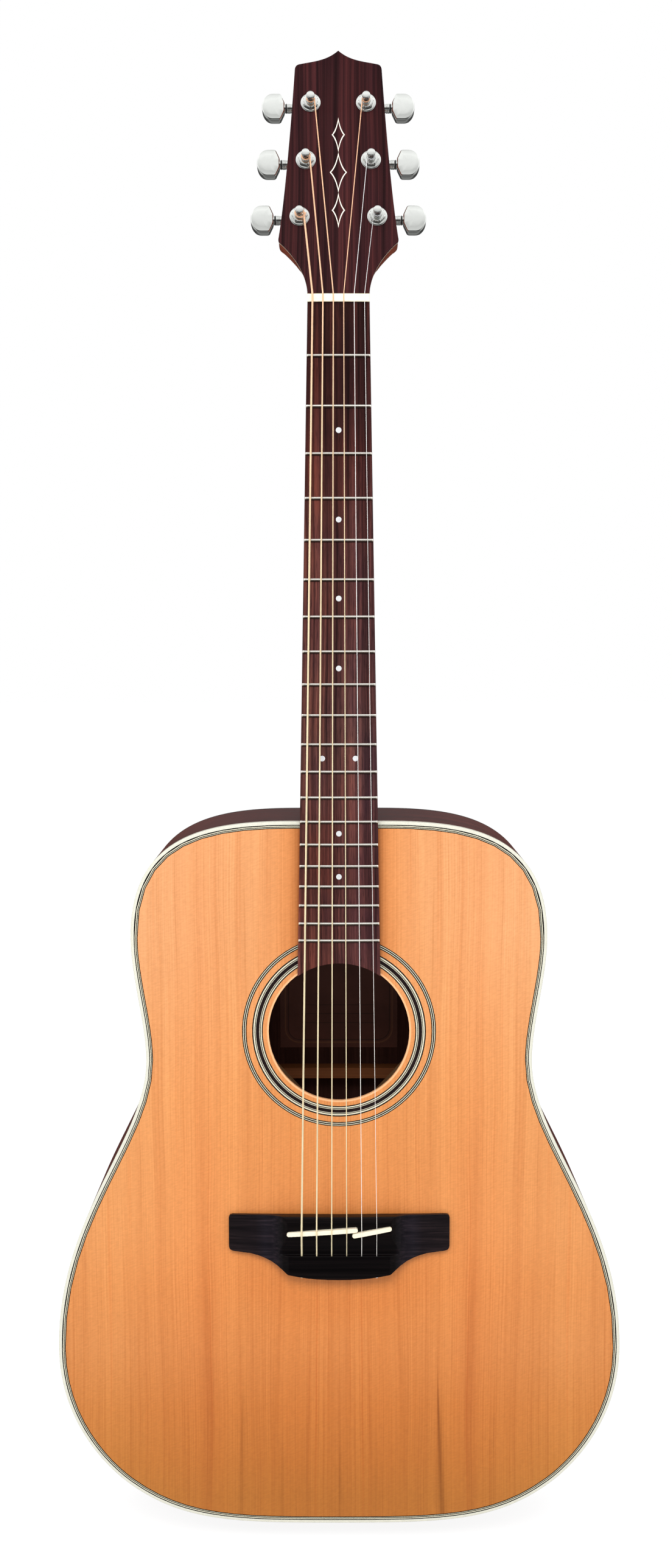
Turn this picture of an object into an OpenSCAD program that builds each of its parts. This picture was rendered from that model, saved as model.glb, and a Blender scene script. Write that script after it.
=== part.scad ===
// Flat-top acoustic guitar, steel strung, fourteen frets clear of the body.
// Millimetres. X to the treble side, Y to the back, Z up the neck, soundboard facing -Y.
// Origin: tail end of the soundboard's centre line, on its outer face.

/* [Strings and neck] */
// speaking length of the strings, nut to nominal bridge line
scale_length = 644; // [640:1:648]
// number of frets
fret_count = 20; // [18:1:20]
// half width of the neck at the nut
nut_half = 21.3; // [20.5:0.1:22]
// fretboard thickness at the centre line
board_thick = 6; // [5.5:0.1:6.5]
// radius of the fretboard's camber
board_radius = 406; // [300:1:500]
// spacing of the outer strings at the nut
nut_spread = 35.5; // [34:0.1:37]
// spacing of the outer strings at the saddle
saddle_spread = 53.5; // [52:0.1:54.5]

/* [Body] */
// half width of the lower bout
lower_half = 202.3; // [198:0.1:206]
// half width of the waist
waist_half = 137.2; // [134:0.1:140]
// half width of the upper bout
upper_half = 147.4; // [144:0.1:150]
// body depth at the tail
tail_depth = 124; // [118:1:128]
// body depth at the neck
neck_depth = 100; // [96:1:106]
// cross radius of the arched back
back_radius = 3000; // [2500:50:4000]
// soundboard thickness
top_thick = 2.8; // [2.6:0.1:3]
// side thickness
side_thick = 2.4; // [2.3:0.1:2.6]
// soundhole radius
hole_r = 50; // [48:0.5:51]

/* [Headstock] */
// backward tilt of the headstock in degrees
head_tilt = 14; // [12:0.5:15]
// headstock thickness with its facing
head_thick = 15.1; // [14.5:0.1:16]

/* [Hidden] */
glue = 0.05; // gap between neighbouring pieces

// colours
cedar = [0.80, 0.47, 0.22];
cream = [0.93, 0.87, 0.72];
black = [0.05, 0.045, 0.04];
dark_brown = [0.16, 0.09, 0.06];
mahogany = [0.30, 0.14, 0.08];
rosewood = [0.20, 0.11, 0.09];
ebony = [0.11, 0.08, 0.07];
spruce = [0.86, 0.72, 0.50];
paper = [0.85, 0.80, 0.68];
bone = [0.94, 0.90, 0.80];
silver = [0.80, 0.80, 0.82];
chrome = [0.78, 0.79, 0.81];
bronze = [0.78, 0.48, 0.26];
steel = [0.72, 0.72, 0.74];
pearl = [0.90, 0.90, 0.88];

// ---- shared functions and shapes; a curve is four Bezier control points ----
function bezier(c, t) = let (u = 1 - t)
  c[0]*u*u*u + 3*c[1]*u*u*t + 3*c[2]*u*t*t + c[3]*t*t*t;
function bezier_slope(c, t) = let (u = 1 - t)
  3*(c[1] - c[0])*u*u + 6*(c[2] - c[1])*u*t + 3*(c[3] - c[2])*t*t;
function reversed(list) = [for (i = [len(list) - 1:-1:0]) list[i]];
function unit(v) = v/norm(v);

// plan drawing in X and Z, extruded from y0 to y1
module prism(y0, y1) translate([0, y1, 0]) rotate([90, 0, 0]) linear_extrude(y1 - y0) children();
module y_rod(r, y0, y1, facets = 48) translate([0, y1, 0]) rotate([90, 0, 0])
  cylinder(r = r, h = y1 - y0, $fn = facets);
// solid behind a cambered face that stands `height` in front of the soundboard
module camber(height, start, length) translate([0, board_radius - height, start])
  cylinder(r = board_radius, h = length, $fn = 360);
// solid through rings of points, capped at both ends
module loft(rings) {
  n = len(rings[0]);
  m = len(rings);
  polyhedron([for (r = rings) for (p = r) p], concat(
    [[for (i = [0:n - 1]) i]],
    [for (k = [0:m - 2]) for (i = [0:n - 1]) [k*n + i, k*n + n + i, k*n + n + (i + 1)%n]],
    [for (k = [0:m - 2]) for (i = [0:n - 1]) [k*n + i, k*n + n + (i + 1)%n, k*n + (i + 1)%n]],
    [[for (i = [n - 1:-1:0]) (m - 1)*n + i]]), convexity = 8);
}

// ---- body outline: half curve from the tail (0,0) round the treble side to the neck ----
body_length = 513.1;
lower_z = 131.2; // widest place of the lower bout
waist_z = 342.6;
upper_z = 430.5; // widest place of the upper bout
corner = [152.7, 30.0];
corner_angle = 37.1;
corner_dir = [cos(corner_angle), sin(corner_angle)];
BODY_CURVES = [ // control points [x, z]
  [[0, 0], [75, 0], corner - 48.9*corner_dir, corner],
  [corner, corner + 22.1*corner_dir, [lower_half, lower_z - 54], [lower_half, lower_z]],
  [[lower_half, lower_z], [lower_half, lower_z + 98.8], [waist_half, waist_z - 57.2],
    [waist_half, waist_z]],
  [[waist_half, waist_z], [waist_half, waist_z + 26.9], [upper_half, upper_z - 28.5],
    [upper_half, upper_z]],
  [[upper_half, upper_z], [upper_half, upper_z + 90.6], [65.1, body_length], [0, body_length]]];
steps = 12; // points on each curve
body_points = concat([for (c = BODY_CURVES) for (i = [0:steps - 1]) bezier(c, i/steps)],
  [[0, body_length]]);
body_headings = concat(
  [for (c = BODY_CURVES) for (i = [0:steps - 1]) unit(bezier_slope(c, i/steps))], [[-1, 0]]);
function half_outline(inset) = [for (i = [0:len(body_points) - 1])
  let (outward = [body_headings[i][1], -body_headings[i][0]]) body_points[i] - inset*outward];
function outline(inset) = let (h = half_outline(inset), n = len(h))
  concat(h, [for (i = [n - 2:-1:1]) [-h[i][0], h[i][1]]]);
neck_face = max([for (p = body_points) if (abs(p[0]) < 45) p[1]]) + glue; // foot of the neck

// strip along the body's edge between two insets
module rim(outer, inner) difference() {
  polygon(outline(outer));
  polygon(outline(inner));
}
// the same on one side, trimmed at the centre line; hand is -1 bass, 1 treble
module half_rim(outer, inner, hand) {
  rows = [for (inset = [outer, inner])
    [for (p = half_outline(inset)) [hand*max(p[0], 0.03), p[1]]]];
  polygon(concat(rows[0], reversed(rows[1])));
}
back_slope = atan((tail_depth - neck_depth)/body_length);
// all that lies in front of the arched back, `inset` below its surface
module under_back(inset) translate([0, tail_depth, 0]) rotate([back_slope, 0, 0])
  translate([0, -back_radius, -60]) cylinder(r = back_radius - inset, h = 700, $fn = 720);
behind = 140; // Y behind the whole body
mid_body = 60; // Y where stock for the back's pieces starts

// ---- soundboard, rosette, edges ----
hole_z = 363.5;
binding = 2.2; // binding width
top_binding_deep = 6.5;
back_binding_deep = 5;
inlay_deep = 1.4;
is_black = 0;
is_cream = 1;
is_dark = 2;
ROSETTE = [ // [inner radius, outer radius, colour]
  [54.2, 54.9, is_black], [54.9, 55.65, is_cream], [55.65, 56.25, is_black],
  [56.25, 56.6, is_cream], [56.6, 59.05, is_dark], [59.05, 59.4, is_cream],
  [59.4, 59.95, is_black], [59.95, 60.85, is_cream], [60.85, 61.7, is_black],
  [65.8, 66.45, is_black], [66.45, 66.9, is_cream], [66.9, 67.75, is_black],
  [67.75, 68.2, is_cream], [68.2, 68.85, is_black]];
CHANNELS = [[54.2, 61.7], [65.8, 68.85]]; // radii of the two bands of rosette rings
purfling_width = 2.7;
PURFLING = [ // [start, end, colour], inwards from the binding
  [glue, 0.65, is_black], [0.65, 1.2, is_cream], [1.2, 1.8, is_black],
  [1.8, 2.1, is_cream], [2.1, purfling_width, is_black]];

module disc(r, y0, y1) translate([0, 0, hole_z]) y_rod(r, y0, y1, 144);
module annulus(inner, outer, y0, y1) difference() {
  disc(outer, y0, y1);
  disc(inner, y0 - 1, y1 + 1);
}
module rosette(tone) for (r = ROSETTE) if (r[2] == tone) annulus(r[0], r[1], 0, inlay_deep);
module purfling(tone) for (p = PURFLING) if (p[2] == tone)
  prism(0, inlay_deep) rim(binding + p[0], binding + p[1]);

module soundboard() color(cedar) difference() {
  prism(0, top_thick) polygon(outline(binding + glue));
  disc(hole_r, -1, top_thick + 1);
  for (c = CHANNELS) annulus(c[0] - glue, c[1] + glue, -1, inlay_deep + glue);
  prism(-1, inlay_deep + glue) rim(0, binding + purfling_width + glue);
}
module rosette_black_lines() color(black) rosette(is_black);
module rosette_cream_lines() color(cream) rosette(is_cream);
module rosette_dark_band() color(dark_brown) rosette(is_dark);
rod_y = 7.5; // truss rod axis
rod_notch_size = [6.4, 6.6, 20];
// clearance for the truss rod through the body's edge
module rod_notch() translate([-rod_notch_size[0]/2, rod_y - rod_notch_size[1]/2, body_length - 9])
  cube(rod_notch_size);
module top_binding() color(cream) difference() {
  prism(0, top_binding_deep) rim(0, binding);
  rod_notch();
}
module purfling_black() color(black) purfling(is_black);
module purfling_cream() color(cream) purfling(is_cream);

// ---- sides, back, linings, blocks ----
pin_y = 62; // end pin behind the soundboard
pin_r = 4.2; // end pin shank
back_thick = 2.8;
inside = side_thick + glue; // inset of everything glued inside the sides
lining_width = 6.5;
neck_block_half = 38;
neck_block_long = 58;
tail_block_half = 36;
tail_block_long = 24;
block_gap = 0.2; // linings stop this far from the blocks' flanks

module pin_bore() translate([0, pin_y, -5]) cylinder(r = pin_r + glue, h = 60, $fn = 48);
// round-bottomed slot about the truss rod's axis, open to the front
module rod_slot(r, front, start, length) {
  translate([0, rod_y, start]) cylinder(r = r, h = length, $fn = 48);
  translate([-r, front, start]) cube([2*r, rod_y - front, length]);
}
module side(hand) difference() {
  intersection() {
    prism(top_binding_deep + glue, behind) half_rim(0, side_thick, hand);
    under_back(back_binding_deep + glue);
  }
  rod_notch();
  pin_bore();
}
module side_bass() color(mahogany) side(-1);
module side_treble() color(mahogany) side(1);
module back_plate() color(mahogany) difference() {
  intersection() {
    prism(mid_body, behind) polygon(outline(binding + glue));
    under_back(0);
  }
  under_back(back_thick);
}
module back_binding() color(dark_brown) difference() {
  intersection() {
    prism(mid_body, behind) rim(0, binding);
    under_back(0);
  }
  under_back(back_binding_deep);
}
module lining_plan() difference() {
  rim(inside, inside + lining_width);
  translate([-neck_block_half - block_gap, body_length - neck_block_long - glue])
    square([2*(neck_block_half + block_gap), 80]);
  translate([-tail_block_half - block_gap, -5])
    square([2*(tail_block_half + block_gap), tail_block_long + 5 + inside]);
}
module linings() color(spruce) {
  prism(top_thick + glue, 15) lining_plan();
  difference() {
    intersection() {
      prism(mid_body, behind) lining_plan();
      under_back(back_thick + glue);
    }
    under_back(14);
  }
}
// block from soundboard to back, its plan trimmed to the inside of the sides
module block() intersection() {
  prism(top_thick + glue, behind) intersection() {
    polygon(outline(inside));
    children();
  }
  under_back(back_thick + glue);
}
module neck_block() color(mahogany) difference() {
  block() translate([-neck_block_half, body_length - neck_block_long])
    square([2*neck_block_half, 80]);
  rod_slot(4.7, 0, body_length - neck_block_long - 5, neck_block_long + 20);
}
module tail_block() color(mahogany) difference() {
  block() translate([-tail_block_half, -5]) square([2*tail_block_half, tail_block_long + 5]);
  pin_bore();
}

// ---- braces and label ----
// bars as ends [x, z] in plan; those named PAIRS are repeated across the centre line
CROSS_PAIRS = [[[-142, 437.5], [186, 85.2]]]; // the X brace
TONE_BARS = [[[-76, 186], [72, 106]], [[-88, 150], [60, 68]]];
SIDE_PAIRS = [[[112, 176], [180, 190]], [[84, 208], [165, 240]]];
HOLE_PAIRS = [[[56, 322], [56, 400]]]; // flat strips beside the soundhole
BACK_BRACES_Z = [92, 196, 310, 428];
back_brace_width = 8;

module bars(list, width) for (b = list) {
  along = unit(b[1] - b[0]);
  across = [along[1], -along[0]]*width/2;
  polygon([b[0] + across, b[1] + across, b[1] - across, b[0] - across]);
}
module bar_pairs(list, width) for (hand = [1, -1])
  bars([for (b = list) [for (p = b) [hand*p[0], p[1]]]], width);
module within_linings() intersection() {
  polygon(outline(inside + lining_width + glue));
  children();
}
module top_braces() color(spruce) difference() {
  union() {
    prism(top_thick + glue, 16) within_linings() bar_pairs(CROSS_PAIRS, 6.5);
    prism(top_thick + glue, 18) within_linings() translate([-150, 434]) square([300, 11]);
    prism(top_thick + glue, 10) within_linings() union() {
      bars(TONE_BARS, 5.5);
      bar_pairs(SIDE_PAIRS, 5);
    }
    prism(top_thick + glue, 5) bar_pairs(HOLE_PAIRS, 9);
  }
  translate([-5.5, 0, 425]) cube([11, 13, 25]); // notch on the centre line at the truss rod nut
}
module bridge_plate() color(spruce) prism(top_thick + glue, 5.2)
  polygon([[-60, 182], [60, 182], [60, 212], [40, 234], [-40, 234], [-60, 212]]);
module back_braces() color(spruce) difference() {
  intersection() {
    prism(40, behind) within_linings() for (z = BACK_BRACES_Z)
      translate([-210, z - back_brace_width/2]) square([420, back_brace_width]);
    under_back(back_thick + glue);
  }
  under_back(17);
}
module label() color(paper) difference() {
  intersection() {
    prism(mid_body, behind) translate([-45, 327]) square([90, 78]);
    under_back(back_thick + glue);
  }
  under_back(3.15);
}

// ---- neck ----
nut_z = 870.6; // nut line
head_z = nut_z + 5.4; // top of the nut, foot of the headstock
function fret_z(n) = nut_z - scale_length*(1 - pow(2, -n/12));
function board_half(z) = nut_half - 0.05 + (nut_z - z)*0.01715;
// the neck's back is an arc: radius and centre's distance in front, at the nut and at the body
nut_deep = 14.8;
joint_deep = 17.6;
function arc_radius(half, deep) = (half*half + deep*deep)/(2*deep);
nut_arc = arc_radius(nut_half, nut_deep);
joint_arc = arc_radius(board_half(body_length), joint_deep);
nut_centre = nut_arc - nut_deep;
joint_centre = joint_arc - joint_deep;
neck_long = head_z - body_length;
neck_lean = atan((joint_centre - nut_centre)/neck_long);

// heel: sections across Y, half width and reach up the neck at each distance y
heel_back = 93;
heel_front = 14.5;
function heel_half(y) = 27.6 - 3.2*y/heel_back - 8.4*pow(y/heel_back, 2);
function heel_reach(y) = 21 + 76*pow(max(0, (heel_back - y)/(heel_back - 16)), 4.6);
function heel_ring(y) = [for (i = [0:20]) let (a = 180*i/20)
  [heel_half(y)*(cos(a) >= 0 ? 1 : -1)*pow(abs(cos(a)), 0.85), y,
    neck_face + heel_reach(y)*pow(sin(a), 1.15)]];
module heel() loft(reversed([for (k = [0:14])
  heel_ring(heel_front + (heel_back - heel_front)*pow(k/14, 1.35))]));

// headstock frame: X across, Y back, Z up the headstock
module head() translate([0, 0, head_z]) rotate([-head_tilt, 0, 0]) children();
function head_to_neck(p) = [p[0], p[1]*cos(head_tilt) + p[2]*sin(head_tilt),
  head_z + p[2]*cos(head_tilt) - p[1]*sin(head_tilt)];
head_top = [0, 181.6];
HEAD_CURVES = [ // treble edge from the nut upwards, control points [x, z]
  [[nut_half, 0], [nut_half, 13], [28.5, 27], [40.2, 38]],
  [[40.2, 38], [41, 38.6], [41.6, 39.3], [41.4, 41]],
  [[41.4, 41], [37, 70], [33, 125], [30.5, 166]],
  [[30.5, 166], [30.4, 169.4], [29.6, 170.9], [26.5, 171.4]],
  [[26.5, 171.4], [17, 173.4], [8, 174], head_top]];
HEAD_STEPS = [8, 3, 6, 4, 9]; // points on each curve
head_half = concat([for (k = [0:4]) for (i = [0:HEAD_STEPS[k] - 1])
  bezier(HEAD_CURVES[k], i/HEAD_STEPS[k])], [head_top]);
head_outline = concat(head_half,
  [for (i = [len(head_half) - 2:-1:0]) [-head_half[i][0], head_half[i][1]]]);
facing_thick = 1.6;
face_y = -0.6; // front of the headstock in its own frame
back_y = face_y + head_thick;
wood_y = face_y + facing_thick + glue; // front of the wood under the facing
POSTS = [ // tuner post axes [x, z] in the headstock frame, low E to high e
  [-26.8, 57.4], [-22.6, 99.3], [-19.3, 142], [19.3, 142], [22.6, 99.3], [26.8, 57.4]];
bushing_r = 4.4;
screw_r = 1.4;
screw_z = -12.2; // screw axis from the post axis
function hand_of(i) = POSTS[i][0] < 0 ? -1 : 1;
module at_post(i) head() translate([POSTS[i][0], 0, POSTS[i][1]]) children();
module post_hole() y_rod(bushing_r + glue, -3, 20);

// throat: the round neck turning into the flat headstock, ring points matched by angle
THROAT = [ // [z in the headstock frame, half width, back of the section behind back_y, squareness]
  [3, nut_half + 0.1, 2.2, 2.15], [10, 22.5, 1.6, 2.15], [16, 24.5, 0.7, 2.3],
  [22, 27.4, 0.2, 2.7], [27, 30.6, 0, 3.4], [32, 34.4, 0, 4.8], [36.5, 38.4, -0.05, 10]];
function neck_ring(z) = let (
    k = (head_z - z)/neck_long,
    centre = nut_centre + (joint_centre - nut_centre)*k,
    r = nut_arc + (joint_arc - nut_arc)*k,
    first = asin(centre/r))
  [for (i = [0:16]) let (a = first + (180 - 2*first)*i/16) [r*cos(a), r*sin(a) - centre, z]];
function throat_ring(s) = [for (i = [0:16]) let (
    a = 180*i/16,
    m = pow(pow(abs(cos(a)), s[3]) + pow(abs(sin(a)), s[3]), -1/s[3]))
  head_to_neck([s[1]*m*cos(a), wood_y + (back_y + s[2] - wood_y)*m*sin(a), s[0]])];
module throat() loft(concat([for (below = [24, 16, 8]) neck_ring(head_z - below)],
  [for (s = THROAT) throat_ring(s)]));

// tapered round back of the neck, run past both ends
module neck_shaft() {
  over_nut = 2;
  over_joint = 12;
  flare = (joint_arc - nut_arc)/neck_long;
  translate([0, -nut_centre, head_z]) rotate([180 - neck_lean, 0, 0])
    translate([0, 0, -over_nut]) cylinder(r1 = nut_arc - over_nut*flare,
      r2 = joint_arc + over_joint*flare, h = neck_long + over_nut + over_joint, $fn = 96);
}
module neck() color(mahogany) difference() {
  union() {
    intersection() {
      neck_shaft();
      translate([-60, 0, neck_face]) cube([120, 60, head_z - neck_face - 16]);
    }
    intersection() {
      heel();
      translate([-60, 0.5, neck_face]) cube([120, 120, 200]);
    }
    throat();
    head() translate([0, back_y, 0]) rotate([90, 0, 0]) linear_extrude(back_y - wood_y)
      intersection() {
        polygon(head_outline);
        translate([-60, 36]) square([120, 160]);
      }
  }
  rod_slot(3.05, -1, body_length - 5, nut_z - body_length - 2);
  for (i = [0:5]) at_post(i) {
    post_hole();
    translate([0, 0, screw_z]) y_rod(screw_r + glue, 5, 20, 24);
  }
}
module headstock_facing() color(rosewood) difference() {
  head() translate([0, face_y + facing_thick, 0]) rotate([90, 0, 0])
    linear_extrude(facing_thick) intersection() {
      polygon(head_outline);
      translate([-60, 0.15]) square([120, 190]);
    }
  for (i = [0:5]) at_post(i) post_hole();
}

// ---- fretboard ----
camber_y = board_radius - board_thick; // camber axis
board_end = hole_z + 20;
slot_width = 0.6;
marker_r = 1.97;
MARKERS = [ // [fret below the marker's middle, x]
  [3, 0], [5, 0], [7, 0], [9, 0], [12, -11.6], [12, 11.6], [15, 0], [17, 0]];
FRET_PROFILE = [ // [height over the board, z from the fret line]
  [-1.7, -0.24], [0.02, -0.24], [0.02, -1.2], [0.5, -1.12], [0.88, -0.72], [1.08, 0],
  [0.88, 0.72], [0.5, 1.12], [0.02, 1.2], [0.02, 0.24], [-1.7, 0.24]];
// round markers square to the camber, from depth d0 to d1 below its surface
module markers(r, d0, d1) for (m = MARKERS)
  translate([0, camber_y, (fret_z(m[0]) + fret_z(m[0] - 1))/2])
    rotate([0, 0, asin(m[1]/board_radius)]) translate([0, -board_radius, 0])
      y_rod(r, d0, d1, 24);
module fretboard() color(rosewood) difference() {
  intersection() {
    prism(-9, -glue) polygon([[-board_half(board_end), board_end],
      [board_half(board_end), board_end], [board_half(nut_z), nut_z], [-board_half(nut_z), nut_z]]);
    camber(board_thick, 380, 520);
  }
  disc(hole_r, -20, 5);
  for (n = [1:fret_count]) translate([-40, -board_thick - 2, fret_z(n) - slot_width/2])
    cube([80, 5.3, slot_width]);
  markers(marker_r + glue, -2, 1.2);
}
module frets() color(silver) for (n = [1:fret_count])
  let (half_angle = asin((board_half(fret_z(n)) - 0.15)/board_radius))
    translate([0, camber_y, fret_z(n)]) rotate([0, 0, 270 - half_angle])
      rotate_extrude(angle = 2*half_angle, $fn = 360)
        polygon([for (p = FRET_PROFILE) [board_radius + p[0], p[1]]]);
module fret_markers() color(pearl) markers(marker_r, 0.01, 1.15);

// ---- nut and saddles ----
STRING_R = [0.67, 0.54, 0.42, 0.32, 0.21, 0.16]; // low E, A, D, G, B, high e
nut_top = 7.9; // crown of the nut in front of the soundboard
seat_at_nut = -7.45; // Y of the slot floors
function nut_x(i) = -nut_spread/2 + nut_spread*i/5;
function saddle_x(i) = -saddle_spread/2 + saddle_spread*i/5;
module nut() color(bone) difference() {
  intersection() {
    translate([-nut_half, -9, nut_z + glue])
      cube([2*nut_half, 9 - glue, head_z - nut_z - 2*glue]);
    camber(nut_top, nut_z - 1, 10);
  }
  for (i = [0:5]) { // round-bottomed string slots
    r = STRING_R[i] + 0.05;
    axis = seat_at_nut - STRING_R[i];
    translate([nut_x(i), axis, nut_z - 1]) cylinder(r = r, h = 8, $fn = 24);
    translate([nut_x(i) - r, -12, nut_z - 1]) cube([2*r, 12 + axis, 8]);
  }
}
// saddle lines, ends [x, z]
BASS_LINE = [[-37.4, 218.5], [13.3, 222.2]];
TREBLE_LINE = [[9.3, 217.8], [37.5, 222.8]];
saddle_top = 11.9;
saddle_width = 3.2;
function line_z(l, x) = l[0][1] + (x - l[0][0])*(l[1][1] - l[0][1])/(l[1][0] - l[0][0]);
function saddle_z(i) = line_z(i < 4 ? BASS_LINE : TREBLE_LINE, saddle_x(i));
function saddle_y(x) = -saddle_top + x*x/(2*board_radius);
// round-ended bar, grown all round by gap
module saddle_plan(line, gap) {
  along = unit(line[1] - line[0]);
  angle = atan2(along[1], along[0]);
  r = saddle_width/2;
  function end_arc(centre, start) =
    [for (i = [0:10]) centre + (r + gap)*[cos(start + 18*i), sin(start + 18*i)]];
  polygon(concat(end_arc(line[1] - along*r, angle - 90), end_arc(line[0] + along*r, angle + 90)));
}
module saddle(line) intersection() {
  prism(-20, -4.3) saddle_plan(line, 0);
  camber(saddle_top, 210, 20);
}
module saddle_bass() color(bone) saddle(BASS_LINE);
module saddle_treble() color(bone) saddle(TREBLE_LINE);

// ---- strings ----
anchor = [-5.6, 187.5]; // [y, z] of the string's start in the bridge
bridge_exit = [-7.8, 203.2]; // [y, z] where it leaves the bridge
ball_shift = 0.4; // ball end's axis behind the anchor
wound_r = 2.15; // post radius where the string is wound
wind_y = -7.0; // string's place on the post, in the headstock frame
function string_path(i) = let (
    r = STRING_R[i],
    x = saddle_x(i),
    over_saddle = saddle_y(x) - r - 0.03,
    over_nut = seat_at_nut - r,
    post_x = POSTS[i][0] - hand_of(i)*(wound_r + r + 0.12)) [
  [x, anchor[0], anchor[1]],
  [x, bridge_exit[0], bridge_exit[1]],
  [x, over_saddle, saddle_z(i) - 1.75],
  [x, over_saddle, saddle_z(i) + 1.75],
  [nut_x(i), over_nut, nut_z + 0.2],
  [nut_x(i), over_nut, head_z - 0.2],
  head_to_neck([post_x, wind_y, POSTS[i][1] - 1]),
  head_to_neck([post_x, wind_y, POSTS[i][1] + 1])];
module string(i) {
  path = string_path(i);
  loft([for (p = path) [for (a = [0:7]) p + STRING_R[i]*[cos(45*a), sin(45*a), 0]]]);
  translate(path[0] + [0, ball_shift, -2.3]) cylinder(r = 1.6, h = 2.6, $fn = 24); // ball end
}
module strings_wound() color(bronze) for (i = [0:3]) string(i);
module strings_plain() color(steel) for (i = [4:5]) string(i);

// ---- bridge ----
wing = 79; // half length
upper_edge = 231.3; // neck-side edge at the wings
lower_edge = 203.8; // tail-side edge at the wings
// tail-side curves, control points [x, z]
BELLY = [[0, 184.4], [14, 184.2], [26, 186.4], [36.8, 188.8]];
SHOULDER = [[36.8, 188.8], [44, 195], [52, 200.5], [63, lower_edge - 0.9]];
WING_CORNER = [[75, lower_edge + 0.6], [77.6, lower_edge + 1.0], [wing, lower_edge + 1.9],
  [wing, lower_edge + 4.4]];
bridge_half = concat(
  [for (i = [0:5]) bezier(BELLY, i/5)],
  [for (i = [1:6]) bezier(SHOULDER, i/6)],
  [[70, lower_edge]],
  [for (i = [0:4]) bezier(WING_CORNER, i/4)],
  [[wing, upper_edge - 2.2], [wing - 0.7, upper_edge - 0.5], [wing - 2.5, upper_edge],
    [40, upper_edge - 0.35], [0, upper_edge - 0.6]]);
BRIDGE_PROFILE = [ // [y, z] section along the centre line
  [1, 180], [-6.4, 180], [-7.4, 184.4], [-8.7, 186.2], [-9.4, 189.5], [-9.4, 202.6], [-6.3, 203],
  [-6.6, 206.5], [-8.1, 212.5], [-8.8, 216], [-8.8, 226.5], [-8.0, 230], [-6.6, 232], [1, 232]];
function ease(t) = let (u = min(1, max(0, t))) u*u*(3 - 2*u);
function bridge_height(x) = 9.4 - 5.0*ease((x - 34)/15) - 1.3*max(0, (x - 45)/34);
module bridge() color(ebony) difference() {
  intersection() {
    prism(-12, -glue) polygon(concat(bridge_half,
      reversed([for (p = bridge_half) if (p[0] > 0) [-p[0], p[1]]])));
    translate([0, 0, 170]) linear_extrude(80) // height across the bridge
      polygon(concat([for (x = [-80:4:80]) [x, -bridge_height(abs(x))]], [[80, 1], [-80, 1]]));
    translate([-90, 0, 0]) rotate([90, 0, 90]) linear_extrude(180) polygon(BRIDGE_PROFILE);
  }
  for (line = [BASS_LINE, TREBLE_LINE]) prism(-20, -4.25) saddle_plan(line, glue);
  for (i = [0:5]) {
    // string hole from the tail-side edge up to the step, with a seat for the ball end
    translate([saddle_x(i), anchor[0], anchor[1]])
      rotate([atan((anchor[0] - bridge_exit[0])/(bridge_exit[1] - anchor[1])), 0, 0])
        translate([0, 0, -4]) cylinder(r = 1.1, h = 24, $fn = 24);
    translate([saddle_x(i), anchor[0] + ball_shift, 182]) cylinder(r = 1.85, h = 6.5, $fn = 24);
  }
}

// ---- truss rod ----
module rod_part(below_neck, r, h, facets = 48) translate([0, rod_y, body_length - below_neck])
  cylinder(r = r, h = h, $fn = facets);
module truss_rod() color(steel) {
  rod_part(40, 2.9, nut_z - body_length + 30);
  rod_part(52, 2.45, 12.5);
}
module truss_rod_nut() color(dark_brown) difference() {
  rod_part(57, 4.2, 15);
  rod_part(53, 2.5, 14);
  rod_part(59, 2.4, 4.5, 6); // hexagon socket
}

// ---- tuning machines, in a frame on the post axis of the headstock ----
gear_module = 0.65;
teeth = 14;
gear_r = gear_module*teeth/2; // pitch radius
gear_width = 3.2;
worm_r = 2.3; // pitch radius
thread_lead = PI*gear_module;
thread_half = 1.5*thread_lead; // half length of the thread
worm_z = gear_r + worm_r; // worm axis above the post axis
seat_y = back_y + glue; // front of the housing
worm_y = seat_y + 4.6;
reach = 18.6; // post axis to the button's inner edge
spindle_r = 1.9;
washer_top = face_y - 1.0;

// frame along the worm axis with Z outwards, starting `out` from the post
module worm_axis(hand, out) translate([hand*out, worm_y, worm_z]) rotate([0, hand*90, 0])
  children();
module housing(hand) difference() {
  union() {
    translate([-8.6, seat_y, -7.4]) cube([17.2, 9.6, 18.4]); // box
    translate([-4.2, seat_y, -15.6]) cube([8.4, 2, 9]); // screw tab
    worm_axis(hand, 8) cylinder(r = 3.05, h = reach - 9.4, $fn = 48); // spindle sleeve
  }
  translate([-6.6, seat_y + 1.2, -5.6]) cube([13.2, 6.7, 14.8]); // gear room
  y_rod(3.05, seat_y - 1, seat_y + 3);
  y_rod(2.05, seat_y + 5, seat_y + 9);
  worm_axis(hand, -7.9) cylinder(r = 1.65, h = 6, $fn = 36);
  worm_axis(hand, 0) cylinder(r = spindle_r + glue, h = reach + 5, $fn = 36);
  translate([0, 0, screw_z]) y_rod(1.6, seat_y - 1, seat_y + 4, 24);
}
module tuner_housings() color(chrome) for (i = [0:5]) at_post(i) housing(hand_of(i));
module tuner_washers() color(chrome) for (i = [0:5]) at_post(i) difference() {
  union() {
    y_rod(7.1, face_y - 0.65, face_y - glue);
    y_rod(6.6, washer_top, face_y - 0.6);
  }
  y_rod(bushing_r + glue, -5, 5);
}
module tuner_bushings() color(chrome) for (i = [0:5]) at_post(i) difference() {
  union() {
    intersection() { // hexagon head, chamfered by a cone
      rotate([0, 15*i, 0]) y_rod(5.7, face_y - 3.5, washer_top - glue, 6);
      translate([0, washer_top - glue, 0]) rotate([90, 0, 0])
        cylinder(r1 = 7.4, r2 = 4.95, h = 2.45, $fn = 48);
    }
    y_rod(bushing_r, face_y - 1.2, back_y - 2.5);
  }
  y_rod(3.06, -30, 30);
}
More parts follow.
